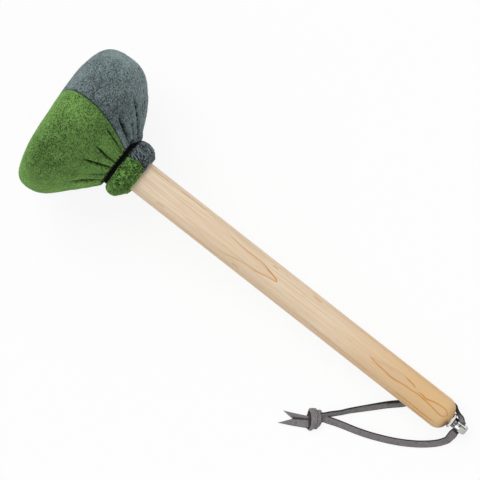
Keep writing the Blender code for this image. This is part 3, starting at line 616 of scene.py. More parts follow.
def figureCurve(along, column):
    # one column of the figure at this place along the handle, in metres
    curve = addNode(along.id_data, "ShaderNodeFloatCurve", {"Value": maths("DIVIDE", along, handle["end"])})
    curve.mapping.use_clip = False
    points = curve.mapping.curves[0].points
    for i, row in enumerate(figure):
        at = (0.001 * row[0] / handle["end"], 0.5 + 0.05 * row[column])
        if i < 2:
            points[i].location = at
        else:
            points.new(*at)
    curve.mapping.update()
    return times(minus(curve.outputs[0], 0.5), 0.02)


def figureMasks(local, parts):
    # The figure's outline and inside: how far a place across the handle is outside its edge, from above
    drift = noiseAt(stretched(local, (60.0, 260.0, 1.0)), 1.0, 3.0)
    across = plus(times(parts[1], -1.0), times(minus(drift, 0.5), wood["wander"]))
    middle = figureCurve(parts[0], 1)
    outside = minus(distance(across, middle), figureCurve(parts[0], 2))
    line = mapRange(maths("ABSOLUTE", outside), wood["lineCore"], wood["lineWidth"], 1.0, 0.0, smooth=True)
    inside = mapRange(outside, -0.0006, 0.0, 1.0, 0.0)
    above = mapRange(parts[2], 0.0, 0.002)
    blots = mapRange(drift, 0.38, 0.60, 0.70, 1.0)
    shown = times(above, mapRange(parts[0], *wood["fadeAt"], 1.0, wood["faded"]))
    broken = ramp(maths("DIVIDE", parts[0], wood["brokenSpan"]), wood["broken"])
    kept = maths("MAXIMUM", minus(1.0, maths("GREATER_THAN", across, middle)), broken)
    veined = 0.0
    for aside, start, end, dark in veins:
        thin = mapRange(distance(across, 0.001 * aside), wood["veinCore"], wood["veinWidth"], dark, 0.0)
        half = 0.0005 * (end - start)
        ended = mapRange(distance(parts[0], 0.0005 * (start + end)), 0.75 * half, half, 1.0, 0.0)
        veined = maths("MAXIMUM", veined, times(thin, ended))
    outline = maths("MAXIMUM", times(line, kept, blots, shown), times(veined, blots, above))
    return outline, times(inside, shown)


def woodMaterial():
    material, tree, place = newMaterial("maple")
    local = handleCoordinates(place)
    parts = split(local)
    grain = useGroup("woodGrain", local, Rise=0.0, Radius=handle["radius"], Streak=1.0)
    outline, inside = figureMasks(local, parts)
    # painted shade: the end's green side is darkened beside the flange, where the flange's shade falls
    under = mapRange(parts[0], *wood["underFlange"], 1.0, 0.0, smooth=True)
    beside = mapRange(parts[1], *wood["besideFlange"])
    endGrain = mapRange(parts[0], 0.0, wood["endUntil"], wood["endTone"], 0.0, smooth=True)
    colour = mixColours(mapRange(parts[0], *wood["warmUntil"]), wood["warm"], wood["pale"])
    # the headward tone paints the wood paler towards the head: painted light that offsets the cuff's shade on
    # the wood there
    for amount, tone in ((mapRange(parts[0], *wood["headwardFrom"]), "headward"),
                         (mapRange(grain["Streaks"], 0.38, 0.68, 0.0, wood["streakTone"]), "core"),
                         (times(inside, wood["heartTone"]), "heart"),
                         (times(ramp(grain["Layer"], wood["layers"]), wood["layerTone"]), "line"),
                         (outline, "line"),
                         (times(grain["Flecks"], wood["fleckTone"]), "line"),
                         (endGrain, "end"),
                         (times(under, beside, wood["shadeTone"]), "shade")):
        colour = mixColours(amount, colour, wood[tone])
    roughness = mapRange(grain["Streaks"], 0.0, 1.0, 0.38, 0.55)
    return finishMaterial(material, colour, (grain["Streaks"], 0.08, 0.0003),
                          {"Roughness": roughness, "Specular IOR Level": 0.4})


def turnedPiece(name, profile, around, material, body, node, carve=None):
    # the profile's points (along, radius) turned round the handle's axis, and its radii then carved
    profile = np.array(profile)
    angle = np.linspace(0.0, math.tau, around, endpoint=False)
    along, radius = (np.repeat(profile[:, i:i + 1], around, axis=1) for i in (0, 1))
    if carve:
        radius = carve(along, radius, angle)
    points = handlePlaces(along, -radius * np.sin(angle), radius * np.cos(angle))
    piece = makePiece(name, [points], material, body, node)
    piece.data.set_sharp_from_angle(angle=math.radians(50))


def arcPoints(centreAlong, centreRadius, radius, start, end, count):
    angle = np.linspace(start, end, count)
    return [(centreAlong + radius * math.cos(a), centreRadius + radius * math.sin(a)) for a in angle]


def makeHandle():
    rounding, seat = handle["buttRounding"], handle["seat"]
    corner = arcPoints(seat + rounding, handle["radius"] - rounding, rounding, math.pi, math.pi / 2, 24)
    shaft = [(x, handle["radius"]) for x in np.linspace(seat + rounding, handle["end"], wood["rings"])[1:]]
    profile = [(wood["shankDepth"], 0.0), (wood["shankDepth"], wood["shankBore"]), (seat, wood["shankBore"])]
    profile += corner + shaft
    bottom = handle["end"] - wood["screwDepth"]
    profile += [(handle["end"], wood["screwBore"]), (bottom, wood["screwBore"]), (bottom, 0.0)]
    turnedPiece("handleShaft", profile, wood["around"], woodMaterial(), "mallet", "handle_shaft")


makeHandle()
print("handle made")

# Head: a fleece cover in two halves over its padding, gathered under a cord at the neck

head = {
    "green": {"lip": 0.0088, "slope": math.radians(41.7), "neckPull": 0.0309, "rimPullBack": 0.0159,
              "rimRadius": 0.0587, "rimHeight": 0.0642, "rimPullOn": 0.0143, "facePull": 0.0424},
    "grey": {"lip": 0.0124, "slope": math.radians(25.0), "neckPull": 0.0300, "rimPullBack": 0.0165,
             "rimRadius": 0.0653, "rimHeight": 0.0591, "rimPullOn": 0.0218, "facePull": 0.0604},
    "faceHeight": 0.0850, "faceTilt": math.radians(5.6), "seamRoll": math.radians(20), "cloth": 0.0030,
    "cuffLength": 0.0165, "grooveWidth": 0.00429, "neckCloth": 0.0066, "collar": 0.004,
}
neckTop = head["cuffLength"] + head["grooveWidth"]
neckRadius = handle["radius"] + head["neckCloth"]
greyRoll = head["seamRoll"] + math.pi / 2


def bezier(start, pullStart, pullEnd, end, t):
    # a cubic curve: the four points times (1-t)^3, 3(1-t)^2 t, 3(1-t) t^2 and t^3
    t = t[:, None, None]
    pulled = 3 * (1 - t) ** 2 * t * pullStart + 3 * (1 - t) * t ** 2 * pullEnd
    return (1 - t) ** 3 * start + pulled + t ** 3 * end


def headOutline(rolls, coneSteps, crownSteps, inset=0.0):
    # Radius and height at each step and roll: one curve from the neck up the cone to the rim, one from the rim
    # to the middle of the face. Both change smoothly from the green side's sizes to the grey side's with the
    # roll.
    grey = 0.5 + 0.5 * np.cos(rolls - greyRoll)
    side = {key: size + grey * (head["grey"][key] - size) for key, size in head["green"].items()}
    zero = np.zeros_like(rolls)
    neck = np.stack([handle["radius"] + side["lip"], zero + neckTop], axis=-1)
    rim = np.stack([side["rimRadius"], side["rimHeight"]], axis=-1)
    face = np.stack([zero, zero + head["faceHeight"]], axis=-1)
    upCone = np.stack([np.cos(side["slope"]), np.sin(side["slope"])], axis=-1) * side["neckPull"][:, None]
    tilt = math.tan(head["faceTilt"]) * (2.0 * grey - 1.0)
    acrossFace = np.stack([zero + 1.0, tilt], axis=-1) * side["facePull"][:, None]
    back = np.stack([zero, side["rimPullBack"]], axis=-1)
    onward = np.stack([zero, side["rimPullOn"]], axis=-1)
    cone = bezier(neck, neck + upCone, rim - back, rim, coneSteps)
    crown = bezier(rim, rim + onward, face + acrossFace, face, crownSteps)
    points = np.concatenate([cone, crown[1:]])
    along = unit(np.gradient(points, axis=0))
    outward = np.stack([along[..., 1], -along[..., 0]], axis=-1)
    outward[-1] = (0.0, 1.0)
    return points - inset * outward, outward


def evenSteps(rows):
    # the curves' own steps at which the outline over the seam is cut into even lengths
    count = 400
    dense = np.linspace(0.0, 1.0, count)
    gone = travelled(headOutline(np.array([head["seamRoll"]]), dense, dense)[0][:, 0])
    coneLength, whole = gone[count - 1], gone[-1]
    coneRows = round(rows * coneLength / whole)
    cone = np.interp(np.linspace(0.0, coneLength, coneRows), gone[:count], dense)
    crown = np.interp(np.linspace(coneLength, whole, rows - coneRows + 1), gone[count - 1:], dense)
    return cone, crown


def settled(points, floor):
    # what would lie lower than this over the table is lifted to it, square to the handle
    short = np.maximum(floor - points[..., 2], 0.0) / offTable[2]
    return points + short[..., None] * offTable


# The gathers: each one's roll at the neck and at its far end in degrees, where it ends up the cone, how deep
# it is and its half width in mm, and which side of it folds over
gathers = [
    (-148, -150, 37, 2.4, 0.8, 1), (-126, -123, 41, 2.8, 0.8, -1), (-101, -104, 38, 2.2, 0.9, 1),
    (-78, -74, 36, 1.3, 1.3, 1), (-57.5, -55.5, 39.5, 3.4, 1.00, -1), (-40, -44, 27, 0.8, 0.6, -1),
    (-21.8, -20.6, 40.5, 3.4, 0.90, -1), (-8.5, -2.6, 38.4, 3.4, 0.85, 1), (14.2, 14.9, 42, 2.4, 0.6, 1),
    (33.3, 28.8, 39.0, 3.4, 1.10, 1), (46, 43, 31, 0.9, 0.6, 1), (60.0, 52.0, 40.5, 3.4, 1.05, 1),
    (80, 74, 41, 1.8, 0.9, -1), (97, 96, 37, 2.4, 0.8, 1), (119, 121, 42, 2.4, 0.8, 1),
    (141, 139, 38, 2.6, 0.8, -1), (164, 166, 40, 2.4, 0.9, 1), (185, 184, 37, 2.4, 0.8, -1),
]
relief = {
    "puff": 0.0011, "puffReach": 0.014, "pleats": 46, "pleat": 0.00045, "pleatReach": 0.0050, "lump": 0.0005,
    "lumpSize": 0.021, "nap": 0.00040, "napSize": 0.00165, "seamDepth": 0.0011, "seamWidth": 0.0007,
    "foldOver": 0.30, "foldAt": 0.0020, "foldWidth": 0.0019, "dip": 0.20, "dipAt": 0.0030, "dipWidth": 0.0030,
    "ribs": 74, "rib": 0.00050, "ribFrom": math.radians(58), "ribTo": math.radians(112), "ribFade": 0.25,
    "ribReach": 0.040, "shutDepth": 0.0022, "fuzz": 0.00012, "fuzzSize": 0.0011,
}


def rollBetween(rolls, middle):
    # the difference of two rolls, from minus half a turn to half a turn
    return (rolls - middle + math.pi) % math.tau - math.pi


def gatherRelief(radius, height, rolls):
    # How far the cloth stands out, how much painted shade lies in its slits, and how much painted light and
    # shade follow its relief: paler on the puffs, and paler and darker across the pleats and ribs. Each gather
    # is a slit, minus its depth times e^-(x / width)^1.6, with a ridge on the side that folds over and a dip on
    # the other. The cloth between two gathers puffs up by the sine of its place between them, most at the neck.
    out = np.zeros_like(radius)
    shut = np.zeros_like(radius)
    for nearRoll, farRoll, end, depth, width, side in gathers:
        way = (height - neckTop) / (0.001 * end - neckTop)
        middle = np.radians(nearRoll + (farRoll - nearRoll) * np.clip(way, 0.0, 1.15))
        across = radius * rollBetween(rolls, middle) * side
        opened = smoothStep(way, 0.0, 0.50)
        deep = 0.001 * depth * (0.45 + 0.55 * opened) * (1.0 - smoothStep(way, 0.72, 1.08))
        wide = 0.001 * width * (0.65 + 0.35 * np.clip(way, 0.0, 1.0))
        wide = wide * (1.0 - 0.5 * smoothStep(way, 0.55, 1.05))
        slit = deep * np.exp(-np.abs(across / wide) ** 1.6)
        ridge = deep * relief["foldOver"] * bell(across, relief["foldAt"], relief["foldWidth"])
        dip = deep * relief["dip"] * bell(across, -relief["dipAt"], relief["dipWidth"])
        out += ridge - dip - slit
        # painted shade in the slit, more where it has opened
        shut = np.maximum(shut, slit / relief["shutDepth"] * (0.55 + 0.45 * opened))
    edges = np.radians(np.sort([gather[0] for gather in gathers]))
    edges = np.append(edges, edges[0] + math.tau)
    turned = (rolls - edges[0]) % math.tau + edges[0]
    left = np.clip(np.searchsorted(edges, turned, side="right") - 1, 0, len(edges) - 2)
    share = (turned - edges[left]) / (edges[left + 1] - edges[left])
    climb = np.maximum(height - neckTop, 0.0)
    nearNeck = bell(climb, 0.0, relief["puffReach"])
    puff = np.sin(math.pi * share) ** 0.8 * nearNeck
    pleats = np.sin(relief["pleats"] * rolls + 2.2 * np.sin(3.0 * rolls) + 1.3 * np.sin(7.0 * rolls))
    pleats = pleats * np.exp(-climb / relief["pleatReach"])
    ribbed = smoothStep(rolls, relief["ribFrom"], relief["ribFrom"] + relief["ribFade"])
    ribbed = ribbed * smoothStep(rolls, relief["ribTo"], relief["ribTo"] - relief["ribFade"])
    ribs = ribbed * np.sin(relief["ribs"] * rolls) * bell(climb, 0.0, relief["ribReach"])
    # painted light on the puffs and painted shade between them near the neck, and painted light and shade
    # across the ribs and pleats
    reliefShading = 0.55 * (puff - 0.45 * nearNeck) + 0.45 * ribs + 0.25 * pleats
    return out + relief["puff"] * puff + relief["pleat"] * pleats + relief["rib"] * ribs, shut, reliefShading


filling = {"columns": 180, "rows": 84, "inset": 0.0010, "pressure": 4.0, "frames": 20, "cap": 0.0014,
           "mass": 0.4, "tension": 20.0, "bending": 1.5, "neckHeld": 0.0015, "seamHeld": (0.0012, 0.9),
           "gatherHeld": (0.0009, 0.95)}


def simulateFilling():
    # The cover as one bag of cloth, held at the neck, in its gathers and along its seam, and swollen by its
    # filling. Gives how far out each point of the bag's grid moved, less its row's mean, so that the outline
    # stays.
    rolls = np.linspace(0.0, math.tau, filling["columns"], endpoint=False)
    outline, outward = headOutline(rolls, *evenSteps(filling["rows"]), filling["inset"])
    stands = gatherRelief(outline[..., 0], outline[..., 1], rolls)[0]
    radius, height = outline[..., 0] + stands * outward[..., 0], outline[..., 1] + stands * outward[..., 1]
    points = headPlaces(radius, height, rolls)
    unique, first, inverse = mergePoints(points)
    corners = inverse[gridFaces(*radius.shape, "columns")[0]]
    mesh = bpy.data.meshes.new("bag")
    mesh.from_pydata(unique, [], [list(dict.fromkeys(face)) for face in corners.tolist()])
    bag = bpy.data.objects.new("bag", mesh)
    bpy.context.scene.collection.objects.link(bag)

    seam = np.abs(radius * np.sin(rolls - head["seamRoll"]))
    held = np.where(height < neckTop + filling["neckHeld"], 1.0, 0.0)
    near, grip = filling["seamHeld"]
    held = np.maximum(held, np.where((seam < near) & (radius > 0.004), grip, 0.0))
    near, grip = filling["gatherHeld"]
    for nearRoll, farRoll, end, *_ in gathers:
        way = np.clip((height - neckTop) / (0.001 * end - neckTop), 0.0, 1.0)
        across = np.abs(radius * rollBetween(rolls, np.radians(nearRoll + (farRoll - nearRoll) * way)))
        held = np.maximum(held, np.where((across < near) & (height < 0.001 * end), grip, 0.0))
    weights = held.reshape(-1)[first]
    pins = bag.vertex_groups.new(name="held")
    for weight in np.unique(weights[weights > 0.0]):
        pins.add(np.flatnonzero(weights == weight).tolist(), float(weight), "REPLACE")

    cloth = bag.modifiers.new("cloth", "CLOTH")
    cloth.settings.vertex_group_mass = "held"
    cloth.settings.use_pressure = True
    cloth.settings.uniform_pressure_force = filling["pressure"]
    cloth.settings.effector_weights.gravity = 0.0
    cloth.settings.mass = filling["mass"]
    cloth.settings.tension_stiffness = filling["tension"]
    cloth.settings.bending_stiffness = filling["bending"]
    cloth.collision_settings.use_self_collision = False
    for step in range(1, filling["frames"] + 1):
        bpy.context.scene.frame_set(step)
    shape = bag.evaluated_get(bpy.context.evaluated_depsgraph_get()).data
    moved = np.empty(3 * len(shape.vertices), dtype=np.float32)
    shape.vertices.foreach_get("co", moved)
    moved = moved.reshape(-1, 3)[inverse].reshape(points.shape)
    bpy.context.scene.frame_set(1)
    bpy.data.objects.remove(bag, do_unlink=True)
    bpy.data.meshes.remove(mesh)

    out = outward[..., :1] * outFrom(rolls) + outward[..., 1:] * alongHandle
    swell = np.sum((moved - points) * out, axis=-1)
    print("filling simulated, moved mm:", (1000 * np.percentile(swell, (1, 50, 99))).round(2).tolist())
    swell -= swell.mean(axis=1)[:, None]
    return np.clip(swell, -filling["cap"], filling["cap"])


swellGrid = simulateFilling()


def swellAt(share, rolls):
    # the simulated swelling at each share of the outline and roll, read between the bag's points
    row = share * (filling["rows"] - 1)
    column = (rolls / math.tau * filling["columns"]) % filling["columns"]
    top, left = np.floor(row).astype(int), np.floor(column).astype(int)
    down, over = row - top, column - left
    below, right = np.minimum(top + 1, filling["rows"] - 1), (left + 1) % filling["columns"]
    left = left % filling["columns"]
    upper = swellGrid[top, left] * (1 - over) + swellGrid[top, right] * over
    lower = swellGrid[below, left] * (1 - over) + swellGrid[below, right] * over
    return upper * (1 - down) + lower * down


# The fleece's tone is a sum: each part's amount, after the middle that some parts go up and down about
fleece = {
    "nap": 0.38, "mottle": 0.24, "patch": (0.20, 0.30), "specks": (0.42, 0.42), "bloom": (0.5, 0.4),
    "edgeOn": 0.13, "pivot": 0.42, "stops": (0.22, 0.66, 1.0), "brightest": 1.75, "shutDark": 0.12,
    "shut": (0.15, 0.80, 0.95),
    "greenDark": (0.009, 0.030, 0.004), "greenLight": (0.179, 0.345, 0.089),
    "greyDark": (0.013, 0.020, 0.022), "greyLight": (0.203, 0.260, 0.266),
}
# Painted light and shade in soft patches: how much paler (darker below zero), then height and roll of the
# middle and the reach in both, rolls in degrees
paintedLighting = {
    "green": [(0.21, 0.066, 11, 0.010, 13), (0.11, 0.034, -45, 0.014, 25), (-0.22, 0.066, -32, 0.015, 23)],
    "grey": [(-0.28, 0.038, 28, 0.016, 20), (-0.12, 0.060, 29, 0.012, 15)],
    "greenCrown": 0.22, "greyCrown": 0.04, "crown": (0.066, 0.084), "low": 0.36, "lowFrom": math.radians(45),
    "lowFade": 0.52, "outer": 0.30, "outerFade": (60.0, 36.0), "outerClimb": (0.026, 0.040),
    "seamFade": (91.0, 89.0),
}


def fleeceMaterial(name, dark, light, contrast):
    material, tree, place = newMaterial(name)
    mottle = useGroup("fibreMottle", place, Size=0.0010, Patches=0.013, Stretch=0.8)
    tone = plus(times(pointValue(tree, "nap"), fleece["nap"]), times(mottle["Mottle"], fleece["mottle"]))
    # painted light and shade over the head goes into the tone
    bloom = pointValue(tree, "bloom")
    for part, key in ((mottle["Patch"], "patch"), (mottle["Height"], "specks"), (bloom, "bloom")):
        middle, amount = fleece[key]
        tone = plus(tone, times(minus(part, middle), amount))
    # painted sheen: the tone is paler at grazing angles, at the edges of the shape
    edgeOn = addNode(tree, "ShaderNodeLayerWeight", {"Blend": 0.25}).outputs["Facing"]
    tone = plus(tone, times(edgeOn, fleece["edgeOn"]))
    tone = plus(times(minus(tone, fleece["pivot"]), contrast), fleece["pivot"])
    brightest = tuple(fleece["brightest"] * c for c in light)
    colour = ramp(tone, list(zip(fleece["stops"], (dark, light, brightest))))
    # painted shade: in the gathers' slits, along the seam and on the lip in the groove the colour goes towards
    # a dark tone
    start, end, most = fleece["shut"]
    closed = mapRange(pointValue(tree, "shut"), start, end, 0.0, most)
    colour = mixColours(closed, colour, tuple(fleece["shutDark"] * c for c in dark))
    tint = (*(min(1.0, 3.0 * c) for c in light), 1.0)
    return finishMaterial(material, colour, (mottle["Height"], 0.7, 0.0006),
                          {"Roughness": 1.0, "Specular IOR Level": 0.15, "Sheen Weight": 0.15,
                           "Sheen Roughness": 0.45, "Sheen Tint": tint})


def paintedPatches(height, rolls, patches):
    # the sum of soft patches: amount times e^-((height away / tall)^2 + (roll away / wide)^2)
    total = 0.0
    for amount, middleHeight, middleRoll, tall, wide in patches:
        turned = np.degrees(rollBetween(rolls, math.radians(middleRoll)))
        total = total + amount * bell(height, middleHeight, tall) * bell(turned, 0.0, wide)
    return total


def paintedLightAndShade(height, rolls):
    # Painted light and shade on the fleece, 0.5 in the middle. The green half is painted paler on its crown and
    # low down, the grey half along its outer edge, and both have patches painted paler and patches painted
    # darker.
    fromGrey = np.degrees(np.abs(rollBetween(rolls, greyRoll)))
    onGrey = smoothStep(fromGrey, *paintedLighting["seamFade"])
    crown = smoothStep(height, *paintedLighting["crown"])
    turned = -rollBetween(rolls, 0.0)
    low = paintedLighting["low"] * smoothStep(turned, paintedLighting["lowFrom"], paintedLighting["lowFrom"] + paintedLighting["lowFade"])
    green = paintedPatches(height, rolls, paintedLighting["green"]) + paintedLighting["greenCrown"] * crown
    green = green + low * (1.0 - 0.5 * crown)
    outer = paintedLighting["outer"] * smoothStep(fromGrey, *paintedLighting["outerFade"])
    outer = outer * smoothStep(height, *paintedLighting["outerClimb"])
    grey = paintedPatches(height, rolls, paintedLighting["grey"]) - paintedLighting["greyCrown"] * crown
    grey = grey + outer * (1.0 - crown)
    return 0.5 + green * (1.0 - onGrey) + grey * onGrey


cover = {
    "columns": 372, "rows": 236, "innerRows": 12, "neckRows": 9, "lipRows": 9, "join": 2,
    "overhang": 0.0012, "overlap": 0.0009, "overlapSize": 0.0045, "greyDrop": 0.0058, "greyIn": 0.0056,
    "greyFrom": (0.66, 0.96), "neckSink": 0.0002, "neckPleat": 0.0003, "shutSize": 0.0035, "lipShadeRows": 6,
    "lipShade": (0.8, 0.0013, 0.0020, 0.0006), "seamShade": 0.55,
}


def coverHalf(name, start, material, node):
    # One half of the cover. Its ring of points at each roll runs from under the cuff along the neck, out round
    # the lip beside the cord, up the cone, over the rim to the middle of the face, and back inside.
    rolls = np.linspace(start, start + math.pi, cover["columns"])
    outline, outward = headOutline(rolls, *evenSteps(cover["rows"]))
    radius, height = outline[..., 0], outline[..., 1]
    base = headPlaces(radius, height, rolls)
    stands, shut, reliefShading = gatherRelief(radius, height, rolls)
    nap = curls(base, relief["napSize"], 11)
    shut = shut * np.clip(0.85 + 0.8 * noise(base, cover["shutSize"], 35), 0.0, 1.1)
    fromSeam = np.abs(radius * np.sin(rolls - head["seamRoll"]))
    seam = np.exp(-(fromSeam / relief["seamWidth"]) ** 1.3)
    stands = stands + swellAt(np.linspace(0.0, 1.0, len(outline))[:, None], rolls)
    stands = stands + relief["lump"] * noise(base, relief["lumpSize"], 21) - relief["seamDepth"] * seam
    stands = stands + relief["nap"] * (nap - 0.45) + relief["fuzz"] * noise(base, relief["fuzzSize"], 31)
    radius, height = radius + stands * outward[..., 0], height + stands * outward[..., 1]
    radius[-1] = 0.0
    height[-1] = height[-1].mean()

    # the lip: (1-t)^2 of the neck, 2(1-t)t of a corner that hangs over it and t^2 of one of the first cone rows
    t = np.linspace(0.0, 1.0, cover["lipRows"], endpoint=False)[:, None]
    join = cover["join"]
    greySide = smoothStep(np.sin(rolls), *cover["greyFrom"])
    corner = radius[0] + cover["overhang"] - cover["greyIn"] * greySide
    uneven = noise(headPlaces(corner, neckTop, rolls), cover["overlapSize"], 33)
    drop = cover["overlap"] * (0.6 + 0.8 * uneven) + cover["greyDrop"] * greySide
    lipRadius = (1 - t) ** 2 * neckRadius + 2 * (1 - t) * t * corner + t ** 2 * radius[join]
    lipHeight = (1 - t) ** 2 * neckTop + 2 * (1 - t) * t * (neckTop - drop) + t ** 2 * height[join]
    underCuff = head["cuffLength"] - head["collar"]
    neckHeight = np.linspace(underCuff, neckTop, cover["neckRows"], endpoint=False)[:, None] + 0.0 * rolls
    pleats = cover["neckPleat"] * np.sin(relief["pleats"] * rolls)
    neckWall = neckRadius - cover["neckSink"] + pleats + 0.0 * neckHeight

    inner = headOutline(rolls, *evenSteps(cover["innerRows"]), head["cloth"])[0][::-1]
    innerRadius, innerHeight = inner[..., 0].copy(), inner[..., 1]
    innerRadius[0] = 0.0
    innerRadius[-1] = handle["radius"] + handle["fit"]
    outside = headPlaces(np.vstack([neckWall, lipRadius, radius[join:]]),
                         np.vstack([neckHeight, lipHeight, height[join:]]), rolls)
    inside = headPlaces(np.vstack([innerRadius, innerRadius[-1:]]),
                        np.vstack([innerHeight, underCuff + 0.0 * rolls]), rolls)
    shift = 0.5 * handle["fit"] * outFrom(start + math.pi / 2)
    points = np.concatenate([settled(outside + shift, 0.0), settled(inside + shift, head["cloth"])])

    extra = cover["neckRows"] + cover["lipRows"]
    shown = slice(extra, len(outside))
    hiddenValues = {"nap": 0.4, "shut": 0.0, "bloom": 0.5}
    values = {key: np.full(points.shape[:2], value) for key, value in hiddenValues.items()}
    # painted light and shade over the head and on the relief; then painted shade in the gathers and along the
    # seam
    values["bloom"][shown] = (paintedLightAndShade(height, rolls) + reliefShading)[join:]
    values["nap"][shown] = nap[join:]
    values["shut"][shown] = np.maximum(shut, cover["seamShade"] * seam)[join:]
    # the lip is in the shade of the groove, up to an uneven edge
    dark, reach, size, fade = cover["lipShade"]
    edge = reach + reach * noise(outside, size, 34)
    over = (outside - butt) @ alongHandle - handle["visible"] - (neckTop - drop)
    shaded = slice(0, extra + cover["lipShadeRows"])
    shade = dark * smoothStep(edge - over, 0.0, fade)[shaded]
    values["shut"][shaded] = np.maximum(values["shut"][shaded], shade)
    piece = makePiece(name, [points], material, "mallet", node, "rows", True, values)


greenFleece = fleeceMaterial("fleeceGreen", fleece["greenDark"], fleece["greenLight"], 1.0)
greyFleece = fleeceMaterial("fleeceGrey", fleece["greyDark"], fleece["greyLight"], 1.3)
coverHalf("coverGreen", head["seamRoll"] - math.pi, greenFleece, "cover_green")
coverHalf("coverGrey", head["seamRoll"], greyFleece, "cover_grey")
print("cover made")

# Cuff: the cover's loose edge, rolled under the cord. Its fleece shows its curly side.

cuff = {
    "columns": 330, "around": 170, "dense": 4000, "curl": 0.00120, "lump": 0.0006, "lumpSize": 0.0060,
    "fuzz": 0.00015, "fuzzSize": 0.0009, "sliverTurn": math.radians(18), "sliverHeight": 0.0003,
    "sliverFade": 0.0012, "edgeDepth": 0.0009, "edgeWidth": 0.0007, "bare": (0.0140, 0.0155),
    "seamLow": math.radians(2.5), "seamHigh": math.radians(-4.0), "seamClimb": (0.003, 0.016),
    "taper": 0.0034, "taperBelow": (0.0085, 0.0015), "outer": (0.0150, 0.0210), "lower": (0.0080, 0.0020),
    "upper": (0.0120, 0.0160), "greySlim": 0.0018, "greyRaise": 0.0009, "greyTop": 0.0008,
    "greenRaise": 0.0010,
    # the curls run along a slanted line: its two parts, then how stretched, warped and wide they are and
    # their seed
    "slant": (0.970, 0.244), "greenCurls": (0.50, 0.0010, 0.00130, 53),
    "greyCurls": (0.22, 0.0003, 0.00150, 51),
    "shadeFrom": (0.0158, 0.0164), "shadeWithin": (0.0225, 0.0213), "shadeEdge": (0.0014, 0.0020),
    "nap": 0.62, "mottle": 0.25, "patch": 0.20, "middle": 0.55, "stops": (0.34, 0.53, 0.76), "halfway": 0.24,
    "greenDark": (0.003, 0.014, 0.001), "greenLight": (0.250, 0.545, 0.105),
    "greyDark": (0.003, 0.007, 0.010), "greyLight": (0.265, 0.335, 0.350),
}

# the roll's outline in mm: out from the handle's middle, and up from its lower edge
cuffSection = [(13.1, 2.4), (13.4, 0.7), (15.4, 0.1), (18.6, 0.8), (21.4, 2.7), (23.2, 5.6),
               (24.0, 9.2), (24.0, 12.6), (23.1, 15.2), (21.2, 16.5), (19.0, 16.2), (17.4, 14.4),
               (14.4, 12.4), (13.1, 9.2), (13.0, 5.6)]


def curlyMaterial(name, dark, light, contrast, pivot):
    material, tree, place = newMaterial(name)
    mottle = useGroup("fibreMottle", place, Size=0.0009, Patches=0.008, Stretch=1.2)
    tone = plus(times(pointValue(tree, "nap"), cuff["nap"]), times(mottle["Mottle"], cuff["mottle"]),
                times(mottle["Patch"], cuff["patch"]))
    tone = plus(times(minus(tone, pivot), contrast), cuff["middle"])
    halfway = tuple(cuff["halfway"] * (a + b) for a, b in zip(dark, light))
    colour = ramp(tone, list(zip(cuff["stops"], (dark, halfway, light))))
    # painted shade: the cuff's top in the groove goes towards a dark tone
    colour = mixColours(times(pointValue(tree, "shut"), 0.95), colour, tuple(0.12 * c for c in dark))
    return finishMaterial(material, colour, (mottle["Height"], 0.7, 0.0005),
                          {"Roughness": 1.0, "Specular IOR Level": 0.2, "Sheen Weight": 0.15,
                           "Sheen Roughness": 0.5})


def cuffOutline():
    # the roll's closed outline cut into even lengths: radius, height and the direction outwards
    section = np.array(cuffSection) * 0.001
    closed = np.vstack([section, section[:1]])
    dense = splinePlaces(np.vstack([closed[-3:-1], closed, closed[1:3]]), cuff["dense"])
    half = cuff["dense"] // 2
    first = np.argmin(np.linalg.norm(dense[:half] - closed[0], axis=1))
    last = half + np.argmin(np.linalg.norm(dense[half:] - closed[0], axis=1))
    points = dense[np.linspace(first, last, cuff["around"], endpoint=False).astype(int)]
    tangent = unit(np.roll(points, -1, axis=0) - np.roll(points, 1, axis=0))
    outward = np.stack([tangent[:, 1], -tangent[:, 0]], axis=1)
    if np.sum(outward * (points - points.mean(axis=0))) < 0.0:
        outward = -outward
    return points[:, 0], points[:, 1], outward


